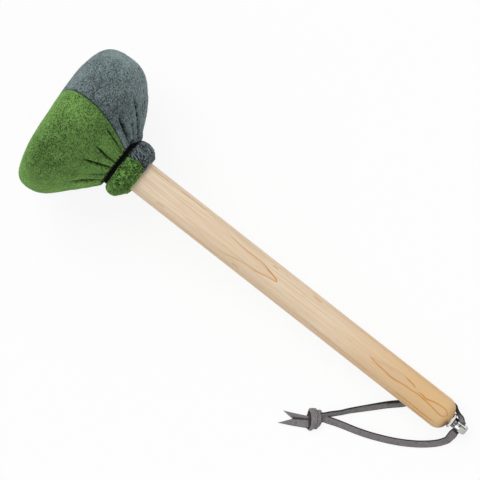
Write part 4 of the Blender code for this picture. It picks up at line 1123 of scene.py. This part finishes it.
def cuffHalf(name, start, end, swings, curlShape, material, node):
    # The roll's outline carried round the handle from one roll to another. Near its lower edge the grey
    # fleece reaches further round, so the front seam's roll swings back there.
    radius, height, outward = cuffOutline()
    swing = 1.0 - smoothStep(height, cuff["sliverHeight"], cuff["sliverHeight"] + cuff["sliverFade"])
    swing = cuff["sliverTurn"] * swing * (outward[:, 1] < 0.2)
    # the front seam leans over from the cuff's top to its lower edge
    climbed = smoothStep(height, *cuff["seamClimb"])
    swing = swing - cuff["seamLow"] - (cuff["seamHigh"] - cuff["seamLow"]) * climbed
    starts, ends = start - swing * swings[0], end - swing * swings[1]
    rolls = starts[:, None] + (ends - starts)[:, None] * np.linspace(0.0, 1.0, cuff["columns"])
    radius, height = radius[:, None] + 0.0 * rolls, height[:, None] + 0.0 * rolls
    # towards the green side the lower corner is rounder, and the grey side is slimmer
    greyness = 0.5 + 0.5 * np.cos(rolls - greyRoll)
    greenness = 1.0 - greyness
    corner = smoothStep(height, *cuff["taperBelow"]) * smoothStep(radius, *cuff["outer"])
    radius = radius - cuff["taper"] * greenness * corner
    radius = radius - cuff["greySlim"] * greyness * smoothStep(radius, *cuff["outer"])
    height = height + cuff["greyRaise"] * greyness * smoothStep(height, *cuff["lower"])
    height = height + cuff["greenRaise"] * greenness ** 4 * smoothStep(height, *cuff["lower"])
    height = height + cuff["greyTop"] * greyness * smoothStep(height, *cuff["upper"])
    base = headPlaces(radius, height, rolls)
    stretch, warped, size, seed = curlShape
    warp = np.stack([noise(base, 0.0045, warpSeed) for warpSeed in (41, 42, 43)], axis=-1)
    arc = radius * rolls
    along = cuff["slant"][0] * height + cuff["slant"][1] * arc
    across = cuff["slant"][0] * arc - cuff["slant"][1] * height
    nap = curls(np.stack([along * stretch, across, radius], axis=-1) + warped * warp, size, seed)
    stands = cuff["lump"] * noise(base, cuff["lumpSize"], 61) + cuff["curl"] * (nap - 0.45)
    stands = stands + cuff["fuzz"] * noise(base, cuff["fuzzSize"], 62)
    border = radius * np.minimum(np.abs(rolls - rolls[:, :1]), np.abs(rolls - rolls[:, -1:]))
    stands = stands * smoothStep(radius, *cuff["bare"])
    stands = stands - cuff["edgeDepth"] * np.exp(-(border / cuff["edgeWidth"]) ** 1.3)
    radius = np.maximum(radius + stands * outward[:, :1], handle["radius"] + handle["fit"])
    height = height + stands * outward[:, 1:]
    # the top is in the shade of the groove, from an uneven edge
    uneven, unevenSize = cuff["shadeEdge"]
    shade = smoothStep(height + uneven * noise(base, unevenSize, 63), *cuff["shadeFrom"])
    shade = shade * smoothStep(radius, *cuff["shadeWithin"])
    shift = 0.4 * handle["fit"] * outFrom(0.5 * (start + end))
    points = settled(headPlaces(radius, height, rolls) + shift, 0.0)
    values = {"nap": nap, "shut": shade}
    piece = makePiece(name, [points], material, "mallet", node, "rows", True, values)


greenCurls = curlyMaterial("curlsGreen", cuff["greenDark"], cuff["greenLight"], 1.25, 0.55)
greyCurls = curlyMaterial("curlsGrey", cuff["greyDark"], cuff["greyLight"], 2.2, 0.62)
cuffHalf("cuffGreen", head["seamRoll"] - math.pi, head["seamRoll"], (0, 1), cuff["greenCurls"], greenCurls,
         "cover_green")
cuffHalf("cuffGrey", head["seamRoll"], head["seamRoll"] + math.pi, (1, 0), cuff["greyCurls"], greyCurls,
         "cover_grey")
print("cuff made")

# Neck cord: waxed black cord, wound round the gathered neck and knotted underneath

neckCord = {
    "diameter": 0.00102, "pitch": 0.00104, "turns": 3, "steps": 1260, "points": 15, "lobes": 3, "lay": 0.0026,
    "start": 0.0002, "knotRoll": math.radians(150), "knotSize": 0.00052, "knotLift": 0.0006, "tail": 0.0075,
    "tailWave": 0.0011, "tailRise": (0.0004, 0.0016), "black": (0.0008, 0.0012, 0.0008),
    "waxed": (0.0040, 0.0050, 0.0040),
}


def cordMaterial():
    material, tree, place = newMaterial("waxedCord")
    mottle = useGroup("fibreMottle", place, Size=0.0006, Patches=0.004, Stretch=0.5)
    colour = mixColours(mottle["Mottle"], neckCord["black"], neckCord["waxed"])
    return finishMaterial(material, colour, (mottle["Height"], 0.4, 0.0002),
                          {"Roughness": 0.75, "Specular IOR Level": 0.12})


def twistedCord(path, ups):
    # a round section whose radius swells at each strand, turned along the cord by its lay
    angle = np.linspace(0.0, math.tau, neckCord["points"], endpoint=False)
    twist = math.tau * travelled(path) / neckCord["lay"]
    swell = 0.90 + 0.10 * np.cos(neckCord["lobes"] * angle - twist[:, None])
    section = 0.5 * neckCord["diameter"] * np.stack([np.cos(angle), np.sin(angle)], axis=1)
    return sweep(path, ups, section, swell[..., None])


def makeNeckCord():
    black = cordMaterial()
    diameter = neckCord["diameter"]
    onNeck = neckRadius + handle["fit"]
    turned = np.linspace(0.0, neckCord["turns"] * math.tau, neckCord["steps"])
    rolls = neckCord["knotRoll"] + turned
    height = head["cuffLength"] + neckCord["start"] + 0.5 * diameter + neckCord["pitch"] * turned / math.tau
    rings = twistedCord(headPlaces(onNeck + 0.5 * diameter, height, rolls), outFrom(rolls))
    makePiece("neckCord", [rings], black, "mallet", "neck_cord")

    # The knot: a trefoil on top of the winding, and the cord's two cut ends beside it
    t = np.linspace(0.0, math.tau, 240)
    over = onNeck + 2.1 * diameter + neckCord["knotLift"]
    centre = headPlaces(over, height.mean(), neckCord["knotRoll"])
    out = outFrom(neckCord["knotRoll"])
    aside = np.cross(alongHandle, out)
    local = np.stack([np.sin(t) + 2 * np.sin(2 * t), np.cos(t) - 2 * np.cos(2 * t), -np.sin(3 * t)], axis=1)
    paths = [centre + neckCord["knotSize"] * local @ np.stack([alongHandle, aside, out])]
    s = np.linspace(0.0, 1.0, 60)
    low, high = neckCord["tailRise"]
    for way in (-1.0, 1.0):
        local = np.stack([neckCord["tailWave"] * way * np.sin(2.4 * s), neckCord["tail"] * s * way,
                          low + high * s ** 2], axis=1)
        paths.append(centre + local @ np.stack([alongHandle, aside, out]))
    grids = [twistedCord(path, np.repeat(out[None], len(path), axis=0)) for path in paths]
    makePiece("neckCordKnot", grids, black, "mallet", "neck_cord_knot")


makeNeckCord()
print("neck cord made")

# Padding: firm felt on the green side, soft foam on the grey side and over the face, and felt round the hub

padding = {
    "coreBack": 0.0320, "coreFront": 0.0760, "feltInside": 0.0223, "feltRadius": 0.0291, "washer": 0.0090,
    "hollow": 0.0048, "table": 0.0039, "split": 0.6, "columns": 96, "gap": 0.004, "coneFrom": 0.081,
    "give": (0.0002, 0.009), "lap": 0.0006, "lapRoll": 1.2, "matting": (0.00015, 0.002),
    "felt": (0.62, 0.59, 0.52), "feltDark": (0.42, 0.39, 0.34), "foam": (0.72, 0.70, 0.62),
    "foamDark": (0.50, 0.47, 0.38),
}


def paddingMaterial(name, dark, light, size, strength):
    material, tree, place = newMaterial(name)
    mottle = useGroup("fibreMottle", place, Size=size, Patches=0.012, Stretch=0.7)
    tone = plus(times(mottle["Mottle"], 0.5), times(mottle["Patch"], 0.5))
    return finishMaterial(material, mixColours(tone, dark, light), (mottle["Height"], strength, 0.0004),
                          {"Roughness": 1.0, "Sheen Weight": 0.1})


def roundPiece(name, radius, height, rolls, material, node, whole=True):
    # A closed outline of radii and heights at each roll. A whole round joins up, a part of one gets two ends.
    points = settled(headPlaces(radius, height, rolls), padding["table"])
    wrap = "rows and columns" if whole else "rows"
    return makePiece(name, [points], material, "mallet", node, wrap, not whole)


def wallRows(corners, rolls):
    # the corners' radii and their heights, each repeated at every roll
    return [np.vstack([np.broadcast_to(corner[i], rolls.shape) for corner in corners]) for i in (0, 1)]


def makePadding():
    fit, inset = handle["fit"], head["cloth"] + handle["fit"]
    felt = paddingMaterial("feltPad", padding["feltDark"], padding["felt"], 0.0012, 0.6)
    foam = paddingMaterial("foamPad", padding["foamDark"], padding["foam"], 0.0007, 0.9)
    back, outside = padding["coreBack"] - fit, padding["feltRadius"] + fit
    coneSteps, crownSteps = np.linspace(padding["coneFrom"], 1.0, 44), np.linspace(0.0, padding["split"], 24)
    for name, start, material, slotName, node, fill in (
            ("firmPad", head["seamRoll"] - math.pi, felt, "felt", "firm_pad", 1.0),
            ("softPad", head["seamRoll"], foam, "foam", "soft_pad", 0.8)):
        rolls = np.linspace(start + padding["gap"], start + math.pi - padding["gap"], padding["columns"])
        skin = headOutline(rolls, coneSteps, crownSteps, inset)[0]
        radius, height = skin[..., 0], skin[..., 1]
        deep, size = padding["give"]
        give = deep * noise(headPlaces(radius, height, rolls), size, 71)
        corners = [(radius[-1], padding["coreFront"]), (outside, padding["coreFront"]), (outside, back),
                   (handle["radius"] + fit, back), (handle["radius"] + fit, height[0])]
        wallRadius, wallHeight = wallRows(corners, rolls)
        piece = roundPiece(name, np.vstack([radius + give, wallRadius]), np.vstack([height, wallHeight]), rolls,
                           material, node, whole=False)

    rolls = np.linspace(0.0, math.tau, 2 * padding["columns"], endpoint=False)
    skin = headOutline(rolls, np.array([1.0]), np.linspace(padding["split"], 1.0, 20), inset)[0][1:]
    radius, height = skin[..., 0], skin[..., 1]
    seat = padding["coreFront"] + fit
    corners = [(0.0, seat + padding["hollow"]), (padding["washer"] + fit, seat + padding["hollow"]),
               (padding["washer"] + fit, seat), (radius[0] - fit, seat), (radius[0] - fit, height[0])]
    wallRadius, wallHeight = wallRows(corners, rolls)
    piece = roundPiece("facePad", np.vstack([wallRadius, radius]), np.vstack([wallHeight, height]), rolls, foam,
                       "face_pad")

    # the felt round the hub, with the step where its outer end laps
    corners = [(padding["feltInside"], padding["coreBack"]), (padding["feltRadius"], padding["coreBack"]),
               (padding["feltRadius"], padding["coreFront"]), (padding["feltInside"], padding["coreFront"])]
    walls = np.concatenate([np.linspace(a, b, 14, endpoint=False)
                            for a, b in zip(corners, corners[1:] + corners[:1])])
    lap = padding["lap"] * ((rolls + padding["lapRoll"]) % math.tau) / math.tau
    outer = walls[:, :1] > padding["feltRadius"] - 0.0001
    radius = walls[:, :1] - np.where(outer, lap, 0.0)
    height = walls[:, 1:] + 0.0 * rolls
    deep, size = padding["matting"]
    radius = radius - np.where(outer, deep * (1.0 + noise(headPlaces(radius, height, rolls), size, 72)), 0.0)
    roundPiece("feltWrap", radius, height, rolls, felt, "felt_wrap")


makePadding()
print("padding made")

# Fitting on the butt: a flanged wood screw and, turning in it, the eye that holds the lace

fitting = {
    "flange": 0.0060, "flangeThickness": 0.0020, "edge": 0.00045, "shank": 0.0032, "shankLength": 0.0220,
    "thread": 0.0022, "threadDepth": 0.0006, "threadFade": (0.002, 0.004), "bore": 0.0017, "chamber": 0.0024,
    "pinGrip": 0.0040, "pinPlay": 0.0002, "pin": 0.0015, "pinHead": 0.0022, "pinHeadHeight": 0.0012,
    "pinEdge": 0.0003, "boss": 0.0034, "gap": 0.0006, "ring": 0.0062, "hole": 0.0031, "ringWidth": 0.0064,
    "ringPower": 3.6, "foot": 0.0038, "collar": 0.0040,
    "bright": (0.86, 0.86, 0.85), "dull": (0.55, 0.54, 0.52),
    "grime": (0.030, 0.026, 0.024), "satin": (0.60, 0.60, 0.56), "satinDull": (0.40, 0.40, 0.36),
    # where the neck's painted reflections and shade end along the axis, its middle and its sides painted black
    # with shade; then the places on the eye
    "gapEnd": (-0.0013, -0.0010), "neckMiddle": 0.0008, "neckSides": (0.0024, 0.0029),
    "mirror": (-0.0034, 0.0034), "polish": (-0.0082, -0.0076), "lineAt": -0.0012,
    "lineWidth": (0.0002, 0.0005), "inner": (-0.0124, -0.0114), "rim": (-0.0019, -0.0016),
    # how the polished part mirrors its surroundings from its outer side to its green side
    "bands": [(0.0, 0.75), (0.14, 0.92), (0.22, 0.80), (0.29, 0.06), (0.42, 0.20), (0.50, 0.10), (0.60, 0.45),
              (0.66, 0.98), (0.84, 0.98), (0.90, 0.25), (1.0, 0.05)],
}


def nickelMaterial():
    # The neck between flange and eye is painted with dark reflected streaks along the axis, and painted black
    # with shade at its two sides
    material, tree, place = newMaterial("nickel")
    wear = useGroup("metalWear", place, Size=0.003, Polished=0.08, Dull=0.22)
    local = handleCoordinates(place)
    parts = split(local)
    colour = mixColours(noiseAt(place, 260.0, 4.0), fitting["bright"], fitting["dull"])
    streaks = noiseAt(stretched(local, (60.0, 1100.0, 1100.0)), 1.0, 2.0)
    reflectedAndShaded = ramp(streaks, [(0.40, fitting["grime"]), (0.66, fitting["dull"])])
    sides = mapRange(distance(parts[1], fitting["neckMiddle"]), *fitting["neckSides"])
    # painted shade: black at the neck's two sides
    reflectedAndShaded = mixColours(sides, reflectedAndShaded, tuple(0.2 * c for c in fitting["grime"]))
    colour = mixColours(mapRange(parts[0], *fitting["gapEnd"], 1.0, 0.0), colour, reflectedAndShaded)
    return finishMaterial(material, colour, (wear["Height"], 0.06, 0.0001),
                          {"Roughness": wear["Roughness"], "Metallic": 1.0})


def eyeMaterial():
    # The eye is polished beside the neck, where it mirrors dark and bright bands, and satin at its round end.
    # A painted highlight lies along its outer edge, and a painted line of shade runs along it under that
    # highlight.
    material, tree, place = newMaterial("nickelSatin")
    wear = useGroup("metalWear", place, Size=0.0018, Polished=0.28, Dull=0.50)
    parts = split(handleCoordinates(place))
    satin = mixColours(noiseAt(place, 1400.0, 3.0), fitting["satinDull"], fitting["satin"])
    polish = mapRange(parts[0], *fitting["polish"])
    colour = mixColours(polish, satin, ramp(mapRange(parts[1], *fitting["mirror"]), fitting["bands"]))
    inner = mapRange(parts[0], *fitting["inner"])
    rim = mapRange(parts[1], *fitting["rim"], 1.0, 0.0)
    line = mapRange(distance(parts[1], fitting["lineAt"]), *fitting["lineWidth"], 0.95, 0.0)
    # painted highlight along the outer edge, then the painted line of shade under it
    colour = mixColours(times(rim, inner), colour, fitting["bright"])
    colour = mixColours(times(line, inner), colour, fitting["grime"])
    roughness = times(wear["Roughness"], minus(1.0, times(polish, 0.6)))
    return finishMaterial(material, colour, (wear["Height"], 0.25, 0.0001),
                          {"Roughness": roughness, "Metallic": 1.0})


def makeBase(nickel, innerFace, outerFace):
    edge, rim, shank = fitting["edge"], fitting["flange"], fitting["shank"]
    chamberStart = outerFace + fitting["pinGrip"] - fitting["pinPlay"]
    chamberEnd = chamberStart + fitting["pinHeadHeight"] + 2.0 * fitting["pinPlay"]
    length = fitting["shankLength"]
    straight = length - 2.0 * shank
    profile = [(chamberEnd, 0.0), (chamberEnd, fitting["chamber"]), (chamberStart, fitting["chamber"]),
               (chamberStart, fitting["bore"]), (outerFace, fitting["bore"]), (outerFace, fitting["boss"]),
               (outerFace, rim - edge)]
    profile += arcPoints(outerFace + edge, rim - edge, edge, math.pi, math.pi / 2, 9)[1:]
    profile += arcPoints(innerFace - edge, rim - edge, edge, math.pi / 2, 0.0, 9) + [(innerFace, shank)]
    profile += [(x, shank) for x in np.linspace(innerFace, straight, 150)[1:]]
    profile += [(x, shank * (length - x) / (length - straight))
                for x in np.linspace(straight, length, 50)[1:]]

    def thread(along, radius, angle):
        # a saw wave of the place along plus the turn, on the screw alone
        wave = np.abs(((along / fitting["thread"] + angle / math.tau) % 1.0) - 0.5) * 2.0
        cut = fitting["threadDepth"] * wave * smoothStep(along, *fitting["threadFade"])
        onScrew = (along > 0.0) & (radius > fitting["chamber"] + 0.0001) | (along > chamberEnd + 0.0002)
        return np.maximum(radius - np.where(onScrew, cut, 0.0), 0.0)

    turnedPiece("eyeBase", profile, 72, nickel, "mallet", "eye_base", thread)


def makeRing(satin):
    # The eye: a rounded ring section carried round the hole. Towards the flange its outer radius is cut off
    # square, to the foot's distance over the cosine.
    upward = np.cross(eyeAcross, alongHandle)
    turn = np.linspace(-math.pi, math.pi, 144, endpoint=False)
    reach = np.where(np.cos(turn) > 0.2, fitting["foot"] / np.maximum(np.cos(turn), 0.2), 1.0)
    outer = np.minimum(fitting["ring"], reach)[:, None]
    axial, radial = superellipse(np.linspace(0.0, math.tau, 56, endpoint=False), fitting["ringPower"])
    ringRadius = 0.5 * (outer + fitting["hole"]) + 0.5 * (outer - fitting["hole"]) * radial
    flat, tall = ringRadius * np.cos(turn)[:, None], ringRadius * np.sin(turn)[:, None]
    points = (eyeMiddle + flat[..., None] * alongHandle + tall[..., None] * upward
              + 0.5 * fitting["ringWidth"] * axial[:, None] * eyeAcross)
    makePiece("eyeRing", [points], satin, "eye", "eye_swivel", "rows and columns")


def makePin(nickel, outerFace):
    foot, grip = outerFace - fitting["gap"], outerFace + fitting["pinGrip"]
    top = -(lace["eyeCentre"] - fitting["hole"]) + 2 * handle["fit"]
    end, pinHead, edge = grip + fitting["pinHeadHeight"], fitting["pinHead"], fitting["pinEdge"]
    corner = fitting["collar"] - edge
    profile = [(end, 0.0), (end, pinHead - edge), (end - edge, pinHead), (grip, pinHead),
               (grip, fitting["pin"]), (foot, fitting["pin"]), (foot, corner)]
    profile += arcPoints(foot - edge, corner, edge, 0.0, math.pi / 2, 6)
    profile += arcPoints(top + edge, corner, edge, math.pi / 2, math.pi, 6) + [(top, 0.0)]
    turnedPiece("eyePin", profile, 64, nickel, "eye", "eye_swivel")


def makeFitting():
    nickel = nickelMaterial()
    innerFace = handle["seat"] - handle["fit"]
    outerFace = innerFace - fitting["flangeThickness"]
    makeBase(nickel, innerFace, outerFace)
    makeRing(eyeMaterial())
    makePin(nickel, outerFace)


makeFitting()
print("fitting made")

# Lace knot: the lace's own strip wrapped twice round the two strands, and its two cut ends

# Each wrap: half length and half height of its path. Then, from the top of the picture to its bottom as +1 to
# -1, how far right of the knot's middle the strip lies and how wide it is, over the knot and under it. The core
# has half its width, half its height and half its length.
knotShape = {
    "height": 0.0034, "steps": 150, "corner": 2.5, "crown": 0.0005, "core": (0.0048, 0.0015, 0.0040),
    "wear": [(0.00012, 0.0012, 81), (0.0002, 0.004, 82)], "clear": 0.0002,
    "front": {"half": (0.0079, 0.0027),
              "over": [(1.0, -0.0008, 0.0062), (0.81, 0.0000, 0.0067), (0.52, 0.0008, 0.0058),
                       (0.0, 0.0009, 0.0051), (-0.60, 0.0003, 0.0048), (-0.90, -0.0012, 0.0046),
                       (-1.0, -0.0028, 0.0032)],
              "under": [(1.0, -0.0008, 0.0062), (0.80, -0.0015, 0.0062), (0.35, -0.0026, 0.0062),
                        (0.0, -0.0033, 0.0060), (-0.70, -0.0036, 0.0052), (-0.90, -0.0034, 0.0042),
                        (-1.0, -0.0028, 0.0032)]},
    "behind": {"half": (0.0068, 0.0019),
               "over": [(1.0, 0.0042, 0.0036), (0.0, 0.0042, 0.0044), (-0.45, 0.0038, 0.0044),
                        (-0.75, 0.0026, 0.0044), (-1.0, 0.0008, 0.0040)],
               "under": [(1.0, 0.0042, 0.0036), (0.0, 0.0030, 0.0044), (-0.70, 0.0020, 0.0044),
                         (-1.0, 0.0008, 0.0040)]},
}

# The two cut ends: two corners each in the knot, beside it and where the slanted cut begins, and the tip, all
# as X and Y from the table under the butt, then how far the end in the knot is lifted
tails = {
    "tailUpper": ([(0.0842, 0.0630), (0.0876, 0.0650), (0.0984, 0.0704), (0.1052, 0.0735)],
                  [(0.0830, 0.0646), (0.0862, 0.0674), (0.0955, 0.0741), (0.1052, 0.0735)],
                  "lace_tail_upper", 0.0034),
    "tailLower": ([(0.0832, 0.0644), (0.0864, 0.0672), (0.0955, 0.0740), (0.1027, 0.0835)],
                  [(0.0805, 0.0679), (0.0820, 0.0725), (0.0922, 0.0782), (0.1027, 0.0835)],
                  "lace_tail_lower", 0.0026),
}
tailShape = {"points": 70, "stations": (0.0, 0.17, 0.62, 1.0), "rise": 0.0003, "sunk": 0.001, "settled": 0.55,
             "fullWidth": 0.0007, "crown": 0.00020, "wear": (0.00008, 0.0012, 84), "edge": (0.84, 0.96)}
up = np.array((0.0, 0.0, 1.0))


def makeKnotWrap(name, wrap, centre):
    # the strip's path is a rounded ring round the strands, and its section leans out from it
    angle = np.linspace(0.0, math.tau, knotShape["steps"], endpoint=False)
    order, lift = superellipse(angle, knotShape["corner"])
    rise = wrap["half"][1] * lift
    over, under = np.array(wrap["over"][::-1]), np.array(wrap["under"][::-1])
    sides, width = (np.where(rise >= 0.0, np.interp(order, over[:, 0], over[:, i]),
                             np.interp(order, under[:, 0], under[:, i])) for i in (1, 2))
    along = wrap["half"][0] * order
    path = centre + along[:, None] * longWay + sides[:, None] * shortWay + rise[:, None] * up
    forward = np.roll(path, -1, axis=0) - np.roll(path, 1, axis=0)
    forward = unit(forward - (forward @ shortWay)[:, None] * shortWay)
    out = np.cross(forward, shortWay)
    if np.sum(out * (path - centre)) < 0.0:
        out = -out
    section = roundedSection(1.0, lace["thickness"], lace["sectionPoints"])
    across = section[:, 0] * width[:, None]
    level = section[:, 1] - knotShape["crown"] * (2.0 * section[:, 0]) ** 2
    points = path[:, None] + across[..., None] * shortWay + level[:, None] * out[:, None]
    wear = sum(deep * noise(points, size, seed) for deep, size, seed in knotShape["wear"])
    points = points + wear[..., None] * out[:, None]
    points[..., 2] = np.maximum(points[..., 2], knotShape["clear"])
    # the cut edges are dark, and the hollow inside the wrap is painted dark with shade but for the rim under
    # the tails
    edge = smoothStep(2.0 * np.abs(section[:, 0]), 0.86, 0.96)
    hollow = (section[:, 1] < 0.0) * smoothStep(2.0 * section[:, 0], -0.86, -0.74)
    below = smoothStep(-rise / wrap["half"][1], 0.0, 0.3)[:, None]
    values = {"cutEdge": np.maximum(edge * (1.0 - 0.75 * below * (section[:, 0] < 0.0)), hollow)}
    return makePiece(name, [points], suede, "eye", "lace_knot", "rows and columns",
                     values=values)


def makeKnotCore(centre):
    # what the wraps hold: the strands pressed together
    wide, high, length = knotShape["core"]
    path = centre + np.linspace(-length, length, 40)[:, None] * shortWay
    rings = sweep(path, np.repeat(up[None], len(path), axis=0), roundedSection(2 * wide, 2 * high, 40, 2.6))
    rings[..., 2] += 0.00015 * noise(rings, 0.002, 83)
    rings[..., 2] = np.maximum(rings[..., 2], 0.0003)
    # painted shade: the core is dark all over, inside the wraps
    values = {"cutEdge": np.full(rings.shape[:2], 0.85)}
    return makePiece("knotCore", [rings], suede, "eye", "lace_knot", values=values)


def makeTail(name, upperCorners, lowerCorners, node, lift):
    # a rounded strip section between two edges, as wide as they are apart
    count = tailShape["points"]
    share = np.linspace(0.0, 1.0, count)
    stations = tailShape["stations"]
    first, second = (np.stack([np.interp(share, stations, np.array(corners)[:, i]) for i in (0, 1)], axis=1)
                     for corners in (upperCorners, lowerCorners))
    middle, half = 0.5 * (first + second), 0.5 * (first - second)
    section = roundedSection(2.0, lace["thickness"], lace["sectionPoints"])
    rise = tailShape["rise"] + 0.5 * lace["thickness"]
    rise = rise + (lift - tailShape["sunk"]) * (1.0 - smoothStep(share, 0.0, tailShape["settled"]))
    points = np.zeros((count, len(section), 3))
    points[..., :2] = middle[:, None] + section[:, :1] * half[:, None]
    thin = np.clip(np.linalg.norm(half, axis=1) / tailShape["fullWidth"], 0.15, 1.0)
    crown = tailShape["crown"] * (1.0 - section[:, 0] ** 2)
    points[..., 2] = rise[:, None] + section[:, 1] * thin[:, None] + crown
    points += underButt
    deep, size, seed = tailShape["wear"]
    points[..., 2] += deep * noise(points, size, seed)
    start, end = (np.repeat(points[i].mean(axis=0)[None, None], len(section), axis=1) for i in (0, -1))
    points = np.concatenate([start, points, end])
    points[..., 2] = np.maximum(points[..., 2], knotShape["clear"])
    values = np.tile(smoothStep(np.abs(section[:, 0]), *tailShape["edge"]), (len(points), 1))
    # painted shade darkens the edges that lie together, along the valley between the two ends, up to the cut
    inner = section[:, 0] < -0.40 if node.endswith("upper") else section[:, 0] > 0.84
    beforeCut = slice(0, round(tailShape["stations"][2] * count))
    values[beforeCut] = np.maximum(values[beforeCut], 0.85 * inner)
    return makePiece(name, [points], suede, "eye", node, values={"cutEdge": values})


knotCentre = underButt + (*knot["place"], knotShape["height"])
knotPieces = [makeKnotWrap("knotFront", knotShape["front"], knotCentre),
              makeKnotWrap("knotBehind", knotShape["behind"], knotCentre), makeKnotCore(knotCentre)]
knotPieces += [makeTail(name, *shape) for name, shape in tails.items()]
print("lace knot made")

# Finishes of the hidden hard pieces, which stay as the frame has them

hidden = {"birchPale": (0.66, 0.52, 0.35), "birchDark": (0.46, 0.32, 0.18), "zinc": (0.62, 0.62, 0.60),
          "zincDull": (0.40, 0.41, 0.42),
          "rings": [(0.0, 0.0), (0.1, 0.8), (0.14, 0.0), (0.3, 0.7), (0.34, 0.0), (0.5, 0.8), (0.55, 0.0),
                    (0.75, 0.7), (0.8, 0.0)]}


def birchMaterial():
    material, tree, place = newMaterial("birch")
    grain = useGroup("woodGrain", handleCoordinates(place), Rise=0.004, Radius=0.022, Streak=0.7)
    rings = ramp(grain["Layer"], hidden["rings"])
    colour = mixColours(times(rings, 0.6), hidden["birchPale"], hidden["birchDark"])
    colour = mixColours(times(grain["Streaks"], 0.5), colour, hidden["birchDark"])
    return finishMaterial(material, colour, (grain["Streaks"], 0.2, 0.0003), {"Roughness": 0.6})


def zincMaterial():
    material, tree, place = newMaterial("zincPlate")
    wear = useGroup("metalWear", place, Size=0.002, Polished=0.25, Dull=0.5)
    colour = mixColours(noiseAt(place, 300.0, 3.0), hidden["zinc"], hidden["zincDull"])
    return finishMaterial(material, colour, (wear["Height"], 0.15, 0.0001),
                          {"Roughness": wear["Roughness"], "Metallic": 1.0})


birch, zincPlate = birchMaterial(), zincMaterial()
for node, material in (("head_core", birch), ("core_screw", zincPlate), ("core_washer", zincPlate)):
    for place in frame["nodes"][node].material_slots:
        place.material = material
print("hidden pieces finished")
